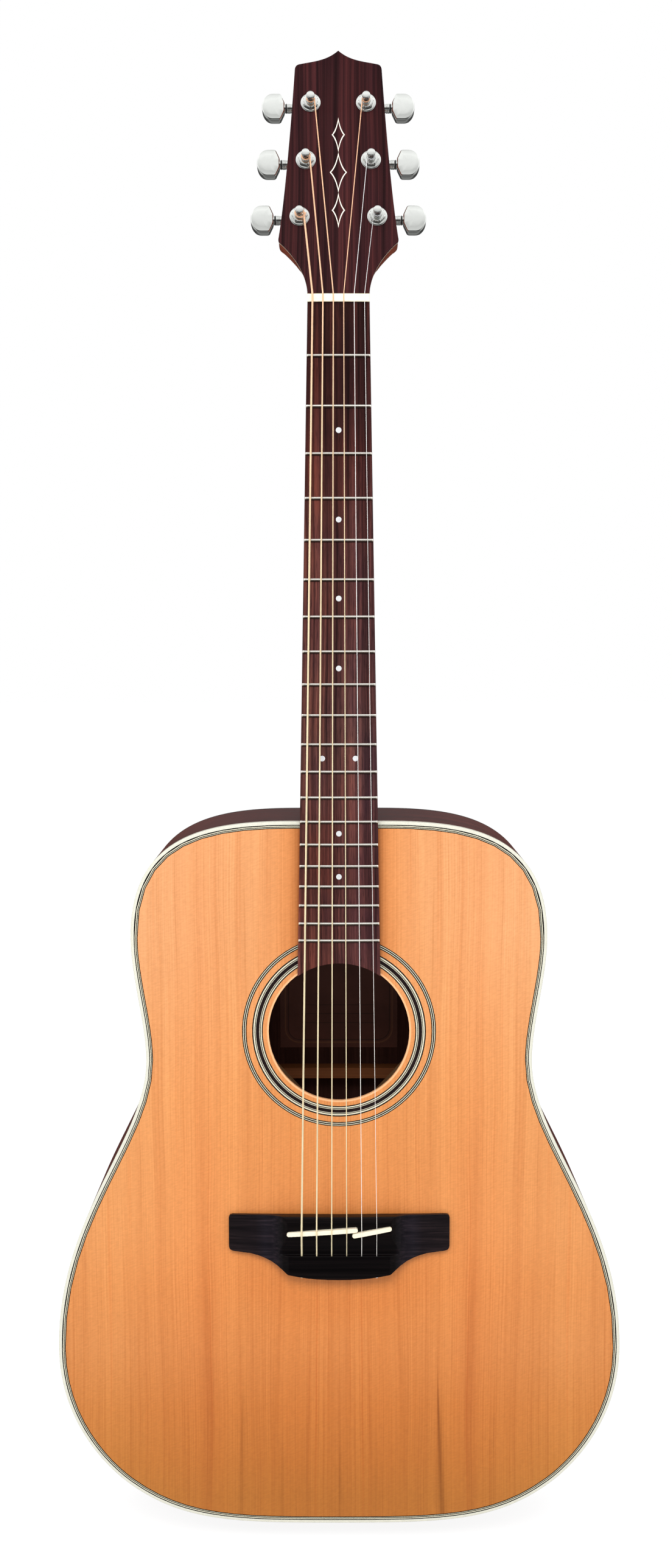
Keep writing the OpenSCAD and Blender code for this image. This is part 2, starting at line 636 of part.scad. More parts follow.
module tuner_screws() color(chrome) for (i = [0:5]) at_post(i)
  translate([0, 0, screw_z]) difference() {
    union() {
      y_rod(screw_r, back_y - 9, seat_y + 2.3, 24);
      y_rod(2.7, seat_y + 2 + glue, seat_y + 3.4, 32);
    }
    for (a = [0, 90]) rotate([0, a, 0]) translate([-2, seat_y + 2.9, -0.3]) cube([4, 2, 0.6]);
  }

BUTTON = [ // [outwards from the inner edge, along the headstock]
  [0, -2.4], [0, 2.4], [1, 5.2], [3, 9.2], [4.2, 9.9], [11.4, 9.9], [13.7, 7.4], [15.4, 4],
  [16.1, 0], [15.4, -4], [13.7, -7.4], [11.4, -9.9], [4.2, -9.9], [3, -9.2], [1, -5.2]];
BUTTON_LAYERS = [[-3.7, 0.84], [-2.5, 1], [2.5, 1], [3.7, 0.84]]; // [y, scale of the outline]
button_middle = 8.6; // outline point that stays put when scaled
module button(i) {
  hand = hand_of(i);
  rings = [for (l = BUTTON_LAYERS) [for (p = BUTTON)
    [hand*(reach + button_middle + (p[0] - button_middle)*l[1]), l[0], p[1]*l[1]]]];
  color(chrome) at_post(i) difference() {
    union() {
      translate([0, worm_y, worm_z]) loft(hand > 0 ? rings : reversed(rings));
      worm_axis(hand, reach - 0.6) cylinder(r = 3.1, h = 3.2, $fn = 32);
    }
    worm_axis(hand, reach - 2) cylinder(r = 1.92, h = 9, $fn = 36);
  }
}
module worm(i) {
  hand = hand_of(i);
  color(steel) at_post(i) union() {
    // single-start right-hand thread as a twisted eccentric disc
    worm_axis(1, -thread_half)
      linear_extrude(2*thread_half, twist = -360*3, slices = 36)
        translate([-0.55, 0]) circle(r = 1.62, $fn = 14);
    worm_axis(hand, -7.6) cylinder(r = 1.6, h = 7.6 - thread_half + 0.2, $fn = 36);
    worm_axis(hand, thread_half - 0.2)
      cylinder(r = spindle_r, h = reach + 6.8 - thread_half, $fn = 36);
  }
}
TOOTH = [ // [fraction of the tooth pitch, height over the pitch circle]
  [-0.27, -0.62], [-0.17, 0], [-0.09, 0.45], [0.09, 0.45], [0.17, 0], [0.27, -0.62]];
gear_twist = -gear_width*thread_lead/(2*PI*worm_r)/gear_r*180/PI; // follows the worm's helix
module gear(i) color(bronze) at_post(i) translate([0, worm_y - gear_width/2, 0])
  rotate([-90, 0, 0]) difference() {
    linear_extrude(gear_width, twist = gear_twist, slices = 4) rotate(gear_twist/2)
      polygon([for (k = [0:teeth - 1]) for (p = TOOTH)
        let (a = 360*(k + p[0])/teeth) (gear_r + p[1])*[cos(a), sin(a)]]);
    translate([0, 0, -1]) cylinder(r = 2.03, h = 6, $fn = 36);
  }
module post(i) {
  end = seat_y + 8.6; // back end of the post
  color(chrome) at_post(i) difference() {
    rotate([90, 0, 0]) translate([0, 0, -end]) rotate_extrude($fn = 48) polygon([
      [0, 0], [2, 0], [2, 5.6], [3, 5.75], [3, end + 4.8], [wound_r, end + 5.2],
      [wound_r, end + 8.5], [2.85, end + 9.1], [2.85, end + 11.3], [2.5, end + 11.65],
      [0, end + 11.75]]);
    rotate([0, -50*hand_of(i), 0]) translate([-5, wind_y + 0.1, 0]) rotate([0, 90, 0])
      cylinder(r = 0.85, h = 10, $fn = 20); // string hole
  }
}

// ---- end pin ----
PIN_PROFILE = [ // [radius, distance out of the tail]
  [0, -22], [3.9, -22], [pin_r, -20], [pin_r, 0.1], [6.2, 0.1], [6.2, 1.6], [4.9, 2.8],
  [4.6, 4.4], [5.0, 6.2], [6.2, 7.4], [7, 7.4], [7, 11.9], [6, 13], [3.5, 13.6], [0, 13.8]];
module end_pin() color(black) translate([0, pin_y, 0]) rotate([180, 0, 0])
  rotate_extrude($fn = 64) polygon(PIN_PROFILE);

// ---- one module for each tuner part ----
module tuner_1_button() button(0);
module tuner_1_worm() worm(0);
module tuner_1_post() post(0);
module tuner_1_gear() gear(0);
module tuner_2_button() button(1);
module tuner_2_worm() worm(1);
module tuner_2_post() post(1);
module tuner_2_gear() gear(1);
module tuner_3_button() button(2);
module tuner_3_worm() worm(2);
module tuner_3_post() post(2);
module tuner_3_gear() gear(2);
module tuner_4_button() button(3);
module tuner_4_worm() worm(3);
module tuner_4_post() post(3);
module tuner_4_gear() gear(3);
module tuner_5_button() button(4);
module tuner_5_worm() worm(4);
module tuner_5_post() post(4);
module tuner_5_gear() gear(4);
module tuner_6_button() button(5);
module tuner_6_worm() worm(5);
module tuner_6_post() post(5);
module tuner_6_gear() gear(5);

soundboard();
rosette_black_lines();
rosette_cream_lines();
rosette_dark_band();
top_binding();
purfling_black();
purfling_cream();
side_bass();
side_treble();
back_plate();
back_binding();
linings();
neck_block();
tail_block();
top_braces();
bridge_plate();
back_braces();
label();
neck();
headstock_facing();
fretboard();
frets();
fret_markers();
nut();
truss_rod();
truss_rod_nut();
tuner_housings();
tuner_bushings();
tuner_washers();
tuner_screws();
bridge();
saddle_bass();
saddle_treble();
strings_wound();
strings_plain();
end_pin();
tuner_1_button();
tuner_1_worm();
tuner_1_post();
tuner_1_gear();
tuner_2_button();
tuner_2_worm();
tuner_2_post();
tuner_2_gear();
tuner_3_button();
tuner_3_worm();
tuner_3_post();
tuner_3_gear();
tuner_4_button();
tuner_4_worm();
tuner_4_post();
tuner_4_gear();
tuner_5_button();
tuner_5_worm();
tuner_5_post();
tuner_5_gear();
tuner_6_button();
tuner_6_worm();
tuner_6_post();
tuner_6_gear();
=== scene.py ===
"""A steel-string acoustic guitar standing upright on its end pin, on a pale studio floor.

Row frame: +Z runs from the tail (z = 0) to the headstock, -Y is the front (the soundboard lies
near y = 0, the arched back near y = +124), -X is the bass side. Lengths are in mm until a mesh
is made; the scene itself is in metres.
"""
import math

import bmesh
import bpy
import numpy as np
from mathutils import Matrix, Vector


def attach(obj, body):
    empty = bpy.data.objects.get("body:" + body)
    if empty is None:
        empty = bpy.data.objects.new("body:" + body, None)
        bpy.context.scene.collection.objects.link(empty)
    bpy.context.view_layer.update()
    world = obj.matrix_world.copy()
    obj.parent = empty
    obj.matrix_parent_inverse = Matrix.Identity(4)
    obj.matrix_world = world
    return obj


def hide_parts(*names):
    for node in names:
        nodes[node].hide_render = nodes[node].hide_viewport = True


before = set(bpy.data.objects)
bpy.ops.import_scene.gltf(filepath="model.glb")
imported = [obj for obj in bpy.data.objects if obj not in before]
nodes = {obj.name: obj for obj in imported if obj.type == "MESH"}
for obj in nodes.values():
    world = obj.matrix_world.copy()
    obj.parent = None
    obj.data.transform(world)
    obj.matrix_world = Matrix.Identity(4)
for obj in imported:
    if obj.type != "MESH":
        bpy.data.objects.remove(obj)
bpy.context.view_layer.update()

# ---------------------------------------------------------------- dimensions (mm)
GAP = 0.05  # clearance between neighbouring pieces

# body: heights and half widths of the lower bout, waist and upper bout
BODY_LENGTH = 513.1
LOWER_Z, WAIST_Z, UPPER_Z = 131.2, 342.6, 430.5
LOWER_HALF, WAIST_HALF, UPPER_HALF = 202.3, 137.2, 147.4
TAIL_DEPTH, NECK_DEPTH = 124.0, 100.0
BACK_RADIUS = 3000.0
BACK_TAPER = math.atan((TAIL_DEPTH - NECK_DEPTH) / BODY_LENGTH)
BINDING_WIDTH, BINDING_ROUND = 2.2, 0.8
TOP_BINDING_DEPTH, BACK_BINDING_DEPTH = 6.5, 5.0
SIDE_THICK, BACK_THICK = 2.4, 2.8
HOLE_Z, HOLE_R = 363.5, 50.0
PIN_Y = 62.0

# neck and fretboard
NUT_Z, HEAD_Z = 870.6, 876.0  # lower face of the nut, origin of the headstock
HEAD_TILT = math.radians(14)
HEAD_COS, HEAD_SIN = math.cos(HEAD_TILT), math.sin(HEAD_TILT)
HEAD_FRONT, HEAD_BACK = -0.6, 14.5  # depths in the headstock's own frame
SCALE_LENGTH = 644.0
NUT_HALF, BOARD_THICK, BOARD_RADIUS = 21.3, 6.0, 406.0

# strings, bass to treble
NUT_SPREAD, SADDLE_SPREAD = 35.5, 53.5
STRING_R = [0.67, 0.54, 0.42, 0.32, 0.21, 0.16]
COIL_TURNS = [1.0, 1.15, 1.4, 2.0, 2.8, 3.7]
WOUND_COUNT = 4

# tuning machines: post places (x, height up the headstock)
POSTS = [(-26.8, 57.4), (-22.6, 99.3), (-19.3, 142.0), (19.3, 142.0), (22.6, 99.3), (26.8, 57.4)]
GEAR_R, WORM_R = 0.65 * 14 / 2, 2.3
SHAFT_RISE = GEAR_R + WORM_R  # button shaft above its post
HOUSING_FRONT = HEAD_BACK + GAP
SHAFT_Y = HOUSING_FRONT + 4.6
BUTTON_REACH = 18.6  # post axis to the button's inner end
POST_WAIST, WIND_Y = 2.15, -7.0


# ---------------------------------------------------------------- curves and frames
def bezier(points, t):
    a, b, c, d = [np.asarray(p, float) for p in points]
    t = np.asarray(t)[:, None]
    u = 1 - t
    return a * u**3 + 3 * b * u * u * t + 3 * c * u * t * t + d * t**3


def bezier_tangent(points, t):
    a, b, c, d = [np.asarray(p, float) for p in points]
    t = np.asarray(t)[:, None]
    u = 1 - t
    return 3 * (b - a) * u * u + 6 * (c - b) * u * t + 3 * (d - c) * t * t


def quadratic(start, control, end, t):
    t = t[:, None]
    return (1 - t) ** 2 * start + 2 * t * (1 - t) * control + t * t * end


CORNER = np.array([152.7, 30.0])
CORNER_ANGLE = math.radians(37.1)
CORNER_DIR = np.array([math.cos(CORNER_ANGLE), math.sin(CORNER_ANGLE)])
# treble half of the body outline, tail to neck: cubic Beziers of (x, z)
BODY_CURVES = [
    [(0, 0), (75, 0), CORNER - 48.9 * CORNER_DIR, CORNER],
    [CORNER, CORNER + 22.1 * CORNER_DIR, (LOWER_HALF, LOWER_Z - 54), (LOWER_HALF, LOWER_Z)],
    [(LOWER_HALF, LOWER_Z), (LOWER_HALF, LOWER_Z + 98.8), (WAIST_HALF, WAIST_Z - 57.2),
     (WAIST_HALF, WAIST_Z)],
    [(WAIST_HALF, WAIST_Z), (WAIST_HALF, WAIST_Z + 26.9), (UPPER_HALF, UPPER_Z - 28.5),
     (UPPER_HALF, UPPER_Z)],
    [(UPPER_HALF, UPPER_Z), (UPPER_HALF, UPPER_Z + 90.6), (65.1, BODY_LENGTH), (0, BODY_LENGTH)],
]


def half_outline(steps):
    """Points, outward normals and running length of the treble half of the body outline."""
    t = np.linspace(0, 1, steps, endpoint=False)
    points = np.vstack([bezier(c, t) for c in BODY_CURVES] + [[(0, BODY_LENGTH)]])
    tangents = np.vstack([bezier_tangent(c, t) for c in BODY_CURVES] + [[(-1, 0)]])
    tangents = tangents / np.linalg.norm(tangents, axis=1)[:, None]
    normals = np.stack([tangents[:, 1], -tangents[:, 0]], 1)
    steps_mm = np.linalg.norm(np.diff(points, axis=0), axis=1)
    return points, normals, np.concatenate([[0], np.cumsum(steps_mm)])


HALF_POINTS, HALF_NORMALS, HALF_LENGTH = half_outline(44)
OUTLINE = np.vstack([HALF_POINTS, HALF_POINTS[1:-1][::-1] * [-1, 1]])
NORMALS = np.vstack([HALF_NORMALS, HALF_NORMALS[1:-1][::-1] * [-1, 1]])


def back_surface(x, z, inset=0.0):
    """y of the arched back, inset mm inside its outer face: a cylinder whose axis is tapered."""
    cos, sin = math.cos(BACK_TAPER), math.sin(BACK_TAPER)
    radius = BACK_RADIUS - inset
    axis_y, axis_z = TAIL_DEPTH - BACK_RADIUS * cos, -BACK_RADIUS * sin
    rise = np.sqrt(radius * radius - np.asarray(x, float) ** 2)
    along = (np.asarray(z, float) - axis_z - rise * sin) / cos
    return axis_y + rise * cos - along * sin


def from_head(x, y, z):
    """Headstock frame to the row frame."""
    x, y, z = np.broadcast_arrays(x, y, z)
    return np.stack([x, y * HEAD_COS + z * HEAD_SIN, HEAD_Z + z * HEAD_COS - y * HEAD_SIN], -1)


def to_head(y, z):
    """Depth and height of row-frame points in the headstock frame."""
    above = z - HEAD_Z
    return y * HEAD_COS - above * HEAD_SIN, above * HEAD_COS + y * HEAD_SIN


def fret_z(n):
    return NUT_Z - SCALE_LENGTH * (1 - 2 ** (-n / 12))


def board_half(z):
    return NUT_HALF - 0.05 + (NUT_Z - z) * 0.01715


def board_top(x):
    return -BOARD_THICK + x * x / (2 * BOARD_RADIUS)


# ---------------------------------------------------------------- solids: (points in mm, faces)
def loft(rings, ends="capped"):
    """Skin over closed rings; ends are "capped", "open" or "joined" to each other."""
    n, m = len(rings[0]), len(rings)
    faces = []
    for k in range(m if ends == "joined" else m - 1):
        q = (k + 1) % m
        for i in range(n):
            j = (i + 1) % n
            faces.append((k * n + i, k * n + j, q * n + j, q * n + i))
    if ends == "capped":
        faces.append(tuple(range(n)))
        faces.append(tuple((m - 1) * n + i for i in reversed(range(n))))
    return np.vstack(rings), faces


def join(solids):
    points, faces, offset = [], [], 0
    for solid_points, solid_faces in solids:
        points.append(np.asarray(solid_points, float))
        faces += [tuple(i + offset for i in face) for face in solid_faces]
        offset += len(solid_points)
    return np.vstack(points), faces


def lathe(profile, n):
    """(radius, height) pairs turned about +Z; a zero radius makes a single pole point."""
    points, faces, rows = [], [], []
    angles = [2 * math.pi * k / n for k in range(n)]
    for radius, height in profile:
        count = n if radius > 0 else 1
        rows.append(range(len(points), len(points) + count))
        points += [(radius * math.cos(a), radius * math.sin(a), height) for a in angles[:count]]
    for low, high in zip(rows[:-1], rows[1:]):
        for k in range(n):
            j = (k + 1) % n
            if len(low) == 1:
                faces.append((low[0], high[k], high[j]))
            elif len(high) == 1:
                faces.append((low[k], low[j], high[0]))
            else:
                faces.append((low[k], low[j], high[j], high[k]))
    return np.array(points, float), faces


def lathe_ring(profile, n):
    """Closed (radius, height) loop turned about +Z: a washer."""
    radius, height = np.array(profile, float).T
    rings = []
    for k in range(n):
        a = 2 * math.pi * k / n
        rings.append(np.stack([radius * math.cos(a), radius * math.sin(a), height], 1))
    return loft(rings, "joined")


def tube(path, radius, n):
    """Round wire along a path, its sections carried without twist."""
    path = np.asarray(path, float)
    tangents = np.gradient(path, axis=0)
    tangents /= np.linalg.norm(tangents, axis=1)[:, None]
    side = np.cross(tangents[0], [1.0, 0.2, 0.1])
    side /= np.linalg.norm(side)
    a = np.linspace(0, 2 * math.pi, n, endpoint=False)[:, None]
    rings = []
    for point, tangent in zip(path, tangents):
        side = side - tangent * (side @ tangent)
        side /= np.linalg.norm(side)
        rings.append(point + radius * (np.cos(a) * side + np.sin(a) * np.cross(tangent, side)))
    return loft(rings)


def bend_path(points, radius):
    """An open polyline with its corners rounded."""
    points = [np.asarray(p, float) for p in points]
    out = [points[0]]
    for a, b, c in zip(points[:-2], points[1:-1], points[2:]):
        before, after = np.linalg.norm(b - a), np.linalg.norm(c - b)
        cut = min(radius, 0.45 * before, 0.45 * after)
        start, end = b + (a - b) / before * cut, b + (c - b) / after * cut
        out.append(quadratic(start, b, end, np.linspace(0, 1, 6)))
    return np.vstack(out + [points[-1]])


def round_polygon(points, cuts):
    """A closed polygon with each corner eased over its own distance."""
    points = np.asarray(points, float)
    out = []
    for k, b in enumerate(points):
        a, c = points[k - 1], points[(k + 1) % len(points)]
        before, after = np.linalg.norm(a - b), np.linalg.norm(c - b)
        start = b + (a - b) / before * min(cuts[k], 0.49 * before)
        end = b + (c - b) / after * min(cuts[k], 0.49 * after)
        out.append(quadratic(start, b, end, np.linspace(0, 1, 6)))
    return np.vstack(out)


# ---------------------------------------------------------------- meshes and objects
def read_points(mesh):
    points = np.zeros(len(mesh.vertices) * 3)
    mesh.vertices.foreach_get("co", points)
    return points.reshape(-1, 3) * 1000


def write_points(mesh, points):
    mesh.vertices.foreach_set("co", (points / 1000).ravel())


def clean(mesh, weld=None, recalc=True):
    """Weld vertices closer than weld (metres) and turn the face normals outward."""
    bm = bmesh.new()
    bm.from_mesh(mesh)
    if weld:
        bmesh.ops.remove_doubles(bm, verts=bm.verts, dist=weld)
    if recalc:
        bmesh.ops.recalc_face_normals(bm, faces=bm.faces)
    bm.to_mesh(mesh)
    bm.free()


def evaluated_mesh(ob):
    bpy.context.view_layer.update()
    return bpy.data.meshes.new_from_object(
        ob.evaluated_get(bpy.context.evaluated_depsgraph_get()))


def link(name, data):
    ob = bpy.data.objects.new(name, data)
    bpy.context.scene.collection.objects.link(ob)
    return ob


def shade(mesh, angle):
    mesh.shade_smooth()
    mesh.set_sharp_from_angle(angle=math.radians(angle))


def add_object(name, mesh, mat, slot=None, node=None, body="guitar", angle=35, smooth=True):
    """An object riding on body; node is the CAD piece it takes the place of."""
    ob = link(name, mesh)
    mesh.materials.clear()
    mesh.materials.append(mat)
    if smooth:
        shade(mesh, angle)
    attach(ob, body)
    if node:
        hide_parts(node)
    return ob


def make(name, solid, mat, attributes=None, **options):
    """An object from a solid; attributes are float values per point."""
    points, faces = solid
    mesh = bpy.data.meshes.new(name)
    mesh.from_pydata([tuple(p) for p in np.asarray(points, float) / 1000], [],
                     [tuple(int(i) for i in face) for face in faces])
    mesh.validate()
    for key, values in (attributes or {}).items():
        layer = mesh.attributes.new(key, "FLOAT", "POINT")
        layer.data.foreach_set("value", np.asarray(values, np.float32))
    clean(mesh)
    return add_object(name, mesh, mat, **options)


def head_plate(name, loops, front, back, bevel, mat, bevel_steps=2, **options):
    """Flat plate on the headstock from closed (x, z) loops, with rounded edges."""
    curve = bpy.data.curves.new(name + "_curve", "CURVE")
    curve.dimensions = "2D"
    curve.fill_mode = "BOTH"
    for loop in loops:
        spline = curve.splines.new("POLY")
        spline.points.add(len(loop) - 1)
        for k, (x, z) in enumerate(loop):
            spline.points[k].co = (x / 1000, z / 1000, 0, 1)
        spline.use_cyclic_u = True
    curve.extrude = ((back - front) / 2 - bevel) / 1000
    curve.bevel_depth = bevel / 1000
    curve.bevel_resolution = bevel_steps
    curve.offset = -bevel / 1000
    ob = link(name + "_outline", curve)
    mesh = evaluated_mesh(ob)
    bpy.data.objects.remove(ob)
    bpy.data.curves.remove(curve)
    mesh.name = name
    clean(mesh, weld=2e-6)
    flat = read_points(mesh)
    write_points(mesh, from_head(flat[:, 0], (front + back) / 2 - flat[:, 2], flat[:, 1]))
    clean(mesh)
    return add_object(name, mesh, mat, **options)


def remeshed(name, node, mat, voxel, pairs, relax, slot, weights=None):
    """A CAD solid with its edges softened: voxel remesh, Taubin pairs, then plain smoothing.
    weights gives the smoothing strength, 0 to 1, at points in mm."""
    source = nodes[node].data.copy()
    ob = link(name, source)
    clean(source, weld=1e-6, recalc=False)
    modifier = ob.modifiers.new("r", "REMESH")
    modifier.mode = "VOXEL"
    modifier.voxel_size = voxel / 1000
    modifier.adaptivity = 0
    mesh = evaluated_mesh(ob)
    bpy.data.objects.remove(ob)
    mesh.name = name
    points = read_points(mesh)
    n = len(points)
    edges = np.zeros(len(mesh.edges) * 2, np.int64)
    mesh.edges.foreach_get("vertices", edges)
    first, second = edges.reshape(-1, 2).T
    degree = np.bincount(edges, minlength=n).astype(float)[:, None]
    strength = np.ones((n, 1)) if weights is None else weights(points)[:, None]

    def laplacian(c):
        total = np.zeros_like(c)
        for k in range(3):
            total[:, k] = (np.bincount(first, c[second, k], n)
                           + np.bincount(second, c[first, k], n))
        return total / degree - c

    # the inflating half of each pair keeps the solid from shrinking
    for factor in [0.5, -0.52] * pairs + [0.5] * relax:
        points = points + factor * strength * laplacian(points)
    write_points(mesh, points)
    return add_object(name, mesh, mat, slot=slot, node=node, angle=60)


# ---------------------------------------------------------------- shader node building
def grey(value):
    return (value, value, value)


def srgb(*color):
    """sRGB 0-255 to linear."""
    return tuple(v / 12.92 if v <= 0.04045 else ((v + 0.055) / 1.055) ** 2.4
                 for v in (c / 255 for c in color))


class Nodes:
    """Builds a node tree; every method but node and put returns an output socket."""

    def __init__(self, tree):
        self.tree = tree
        tree.nodes.clear()

    def put(self, socket, value):
        if isinstance(value, bpy.types.NodeSocket):
            self.tree.links.new(value, socket)
        else:
            socket.default_value = value

    def node(self, kind, inputs=None, **settings):
        node = self.tree.nodes.new("ShaderNode" + kind)
        for key, value in settings.items():
            setattr(node, key, value)
        for key, value in (inputs or {}).items():
            self.put(node.inputs[key], value)
        return node

    def math(self, operation, a, b=0.0):
        return self.node("Math", {0: a, 1: b, 2: 0.0}, operation=operation).outputs[0]

    def add(self, a, b):
        return self.math("ADD", a, b)

    def sub(self, a, b):
        return self.math("SUBTRACT", a, b)

    def mul(self, a, b):
        return self.math("MULTIPLY", a, b)

    def abs(self, a):
        return self.math("ABSOLUTE", a)

    def hypot(self, a, b):
        return self.math("SQRT", self.add(self.mul(a, a), self.mul(b, b)))

    def less(self, a, limit):
        return self.math("LESS_THAN", a, limit)

    def split(self, vector):
        return tuple(self.node("SeparateXYZ", {0: vector}).outputs)

    def coords(self, *axes):
        """A vector from three axes, each a constant or a (socket, scale) pair."""
        values = [self.mul(*axis) if isinstance(axis, tuple) else axis for axis in axes]
        return self.node("CombineXYZ", dict(enumerate(values))).outputs[0]

    def mapping(self, vector, scale):
        return self.node("Mapping", {"Vector": vector, "Scale": scale}).outputs[0]

    def noise(self, vector, detail=3.0, rough=0.55, distortion=0.0):
        return self.node("TexNoise", {
            "Vector": vector, "Scale": 1.0, "Detail": detail, "Roughness": rough,
            "Distortion": distortion}).outputs["Fac"]

    def remap(self, value, source, target=(0.0, 1.0), kind="LINEAR"):
        """The source range mapped to the target range."""
        inputs = dict(enumerate((value, *source, *target)))
        return self.node("MapRange", inputs, interpolation_type=kind).outputs[0]

    def ease(self, value, source, target=(0.0, 1.0)):
        return self.remap(value, source, target, "SMOOTHSTEP")

    def ramp(self, value, stops):
        """stops: (position 0 to 1, colour)."""
        node = self.node("ValToRGB", {0: value})
        elements = node.color_ramp.elements
        while len(elements) < len(stops):
            elements.new(0.5)
        for element, (position, color) in zip(elements, stops):
            element.position = position
            element.color = (*color, 1)
        return node.outputs[0]

    def along(self, value, stops):
        """A ramp whose stops are placed at values in rising order."""
        lo, hi = stops[0][0], stops[-1][0]
        return self.ramp(self.remap(value, (lo, hi)), [((p - lo) / (hi - lo), c) for p, c in stops])

    def graded(self, value, stops):
        """Like along, but colours above 1 are allowed."""
        top = max(max(c) for _, c in stops)
        color = self.along(value, [(p, tuple(q / top for q in c)) for p, c in stops])
        return self.node("VectorMath", {0: color, "Scale": top}, operation="SCALE").outputs[0]

    def mix(self, factor, a, b, blend="MIX"):
        b = (*b, 1) if isinstance(b, tuple) else b
        return self.node("Mix", {0: factor, 6: a, 7: b}, data_type="RGBA",
                         blend_type=blend).outputs[2]

    def multiply(self, factor, color, tint):
        return self.mix(factor, color, tint, "MULTIPLY")

    def tint(self, factor, color, value, source, stops):
        """Multiply by a ramp read from a value over its source range."""
        return self.multiply(factor, color, self.ramp(self.remap(value, source), stops))


class Material(Nodes):
    """A Principled material; position is in mm in the row frame."""

    def __init__(self, name):
        self.material = bpy.data.materials.new(name)
        self.material.use_nodes = True
        super().__init__(self.material.node_tree)
        output = self.node("OutputMaterial")
        self.shader = self.node("BsdfPrincipled")
        self.put(output.inputs[0], self.shader.outputs[0])
        self.position = self.mapping(self.node("TexCoord").outputs["Object"], (1000, 1000, 1000))

    def field(self, scale, **options):
        """Noise through the row frame, scaled per axis."""
        return self.noise(self.mapping(self.position, scale), **options)

    def bump(self, height, strength, depth):
        """depth in mm."""
        return self.node("Bump", {"Strength": strength, "Distance": depth / 1000,
                                  "Height": height}).outputs[0]

    def attribute(self, name):
        return self.node("Attribute", attribute_name=name).outputs["Fac"]

    def finish(self, **inputs):
        for key, value in inputs.items():
            self.put(self.shader.inputs[key.replace("_", " ")], value)
        return self.material


# ---------------------------------------------------------------- materials
# finish colour of the top by height, its darkening toward the tail partly painted shade
CEDAR_TONE_AND_SHADE_BY_Z = [
    (20, (0.520, 0.178, 0.026)), (46, (0.565, 0.184, 0.029)), (86, (0.635, 0.205, 0.040)),
    (132, (0.715, 0.250, 0.067)), (177, (0.760, 0.268, 0.073)), (215, (0.790, 0.296, 0.090)),
    (312, (0.805, 0.322, 0.108)), (433, (0.830, 0.368, 0.158)), (500, (0.835, 0.378, 0.170)),
]
# tint of the top by distance from the centre line
CEDAR_BY_OFFSET = [
    (0, (0.91, 0.90, 0.82)), (35, (0.89, 0.86, 0.75)), (70, (0.905, 0.915, 0.85)),
    (97, (0.90, 0.87, 0.80)), (128, (0.92, 0.955, 0.95)), (165, (0.925, 1.02, 1.08)),
    (200, (0.92, 1.0, 1.04)),
]
# mineral streaks in the lower bout: x, lean, half width at the tail, z of the tip, strength
CEDAR_STREAKS = [
    (-72.0, 0.025, 3.0, 118, 0.50), (-68, 0.0, 8.0, 120, 0.18), (75.0, -0.036, 3.2, 130, 1.0),
    (75.4, -0.036, 5.5, 122, 0.60), (76, -0.02, 9.0, 120, 0.25), (-42, 0.01, 3.0, 85, 0.34),
    (-24, 0.0, 2.2, 120, 0.18), (0.5, 0.0, 3.0, 85, 0.42), (26, 0.0, 2.6, 100, 0.18),
    (64, 0.0, 2.6, 170, 0.16), (112, 0.0, 4.0, 110, 0.16), (-118, 0.0, 5.0, 120, 0.18),
]


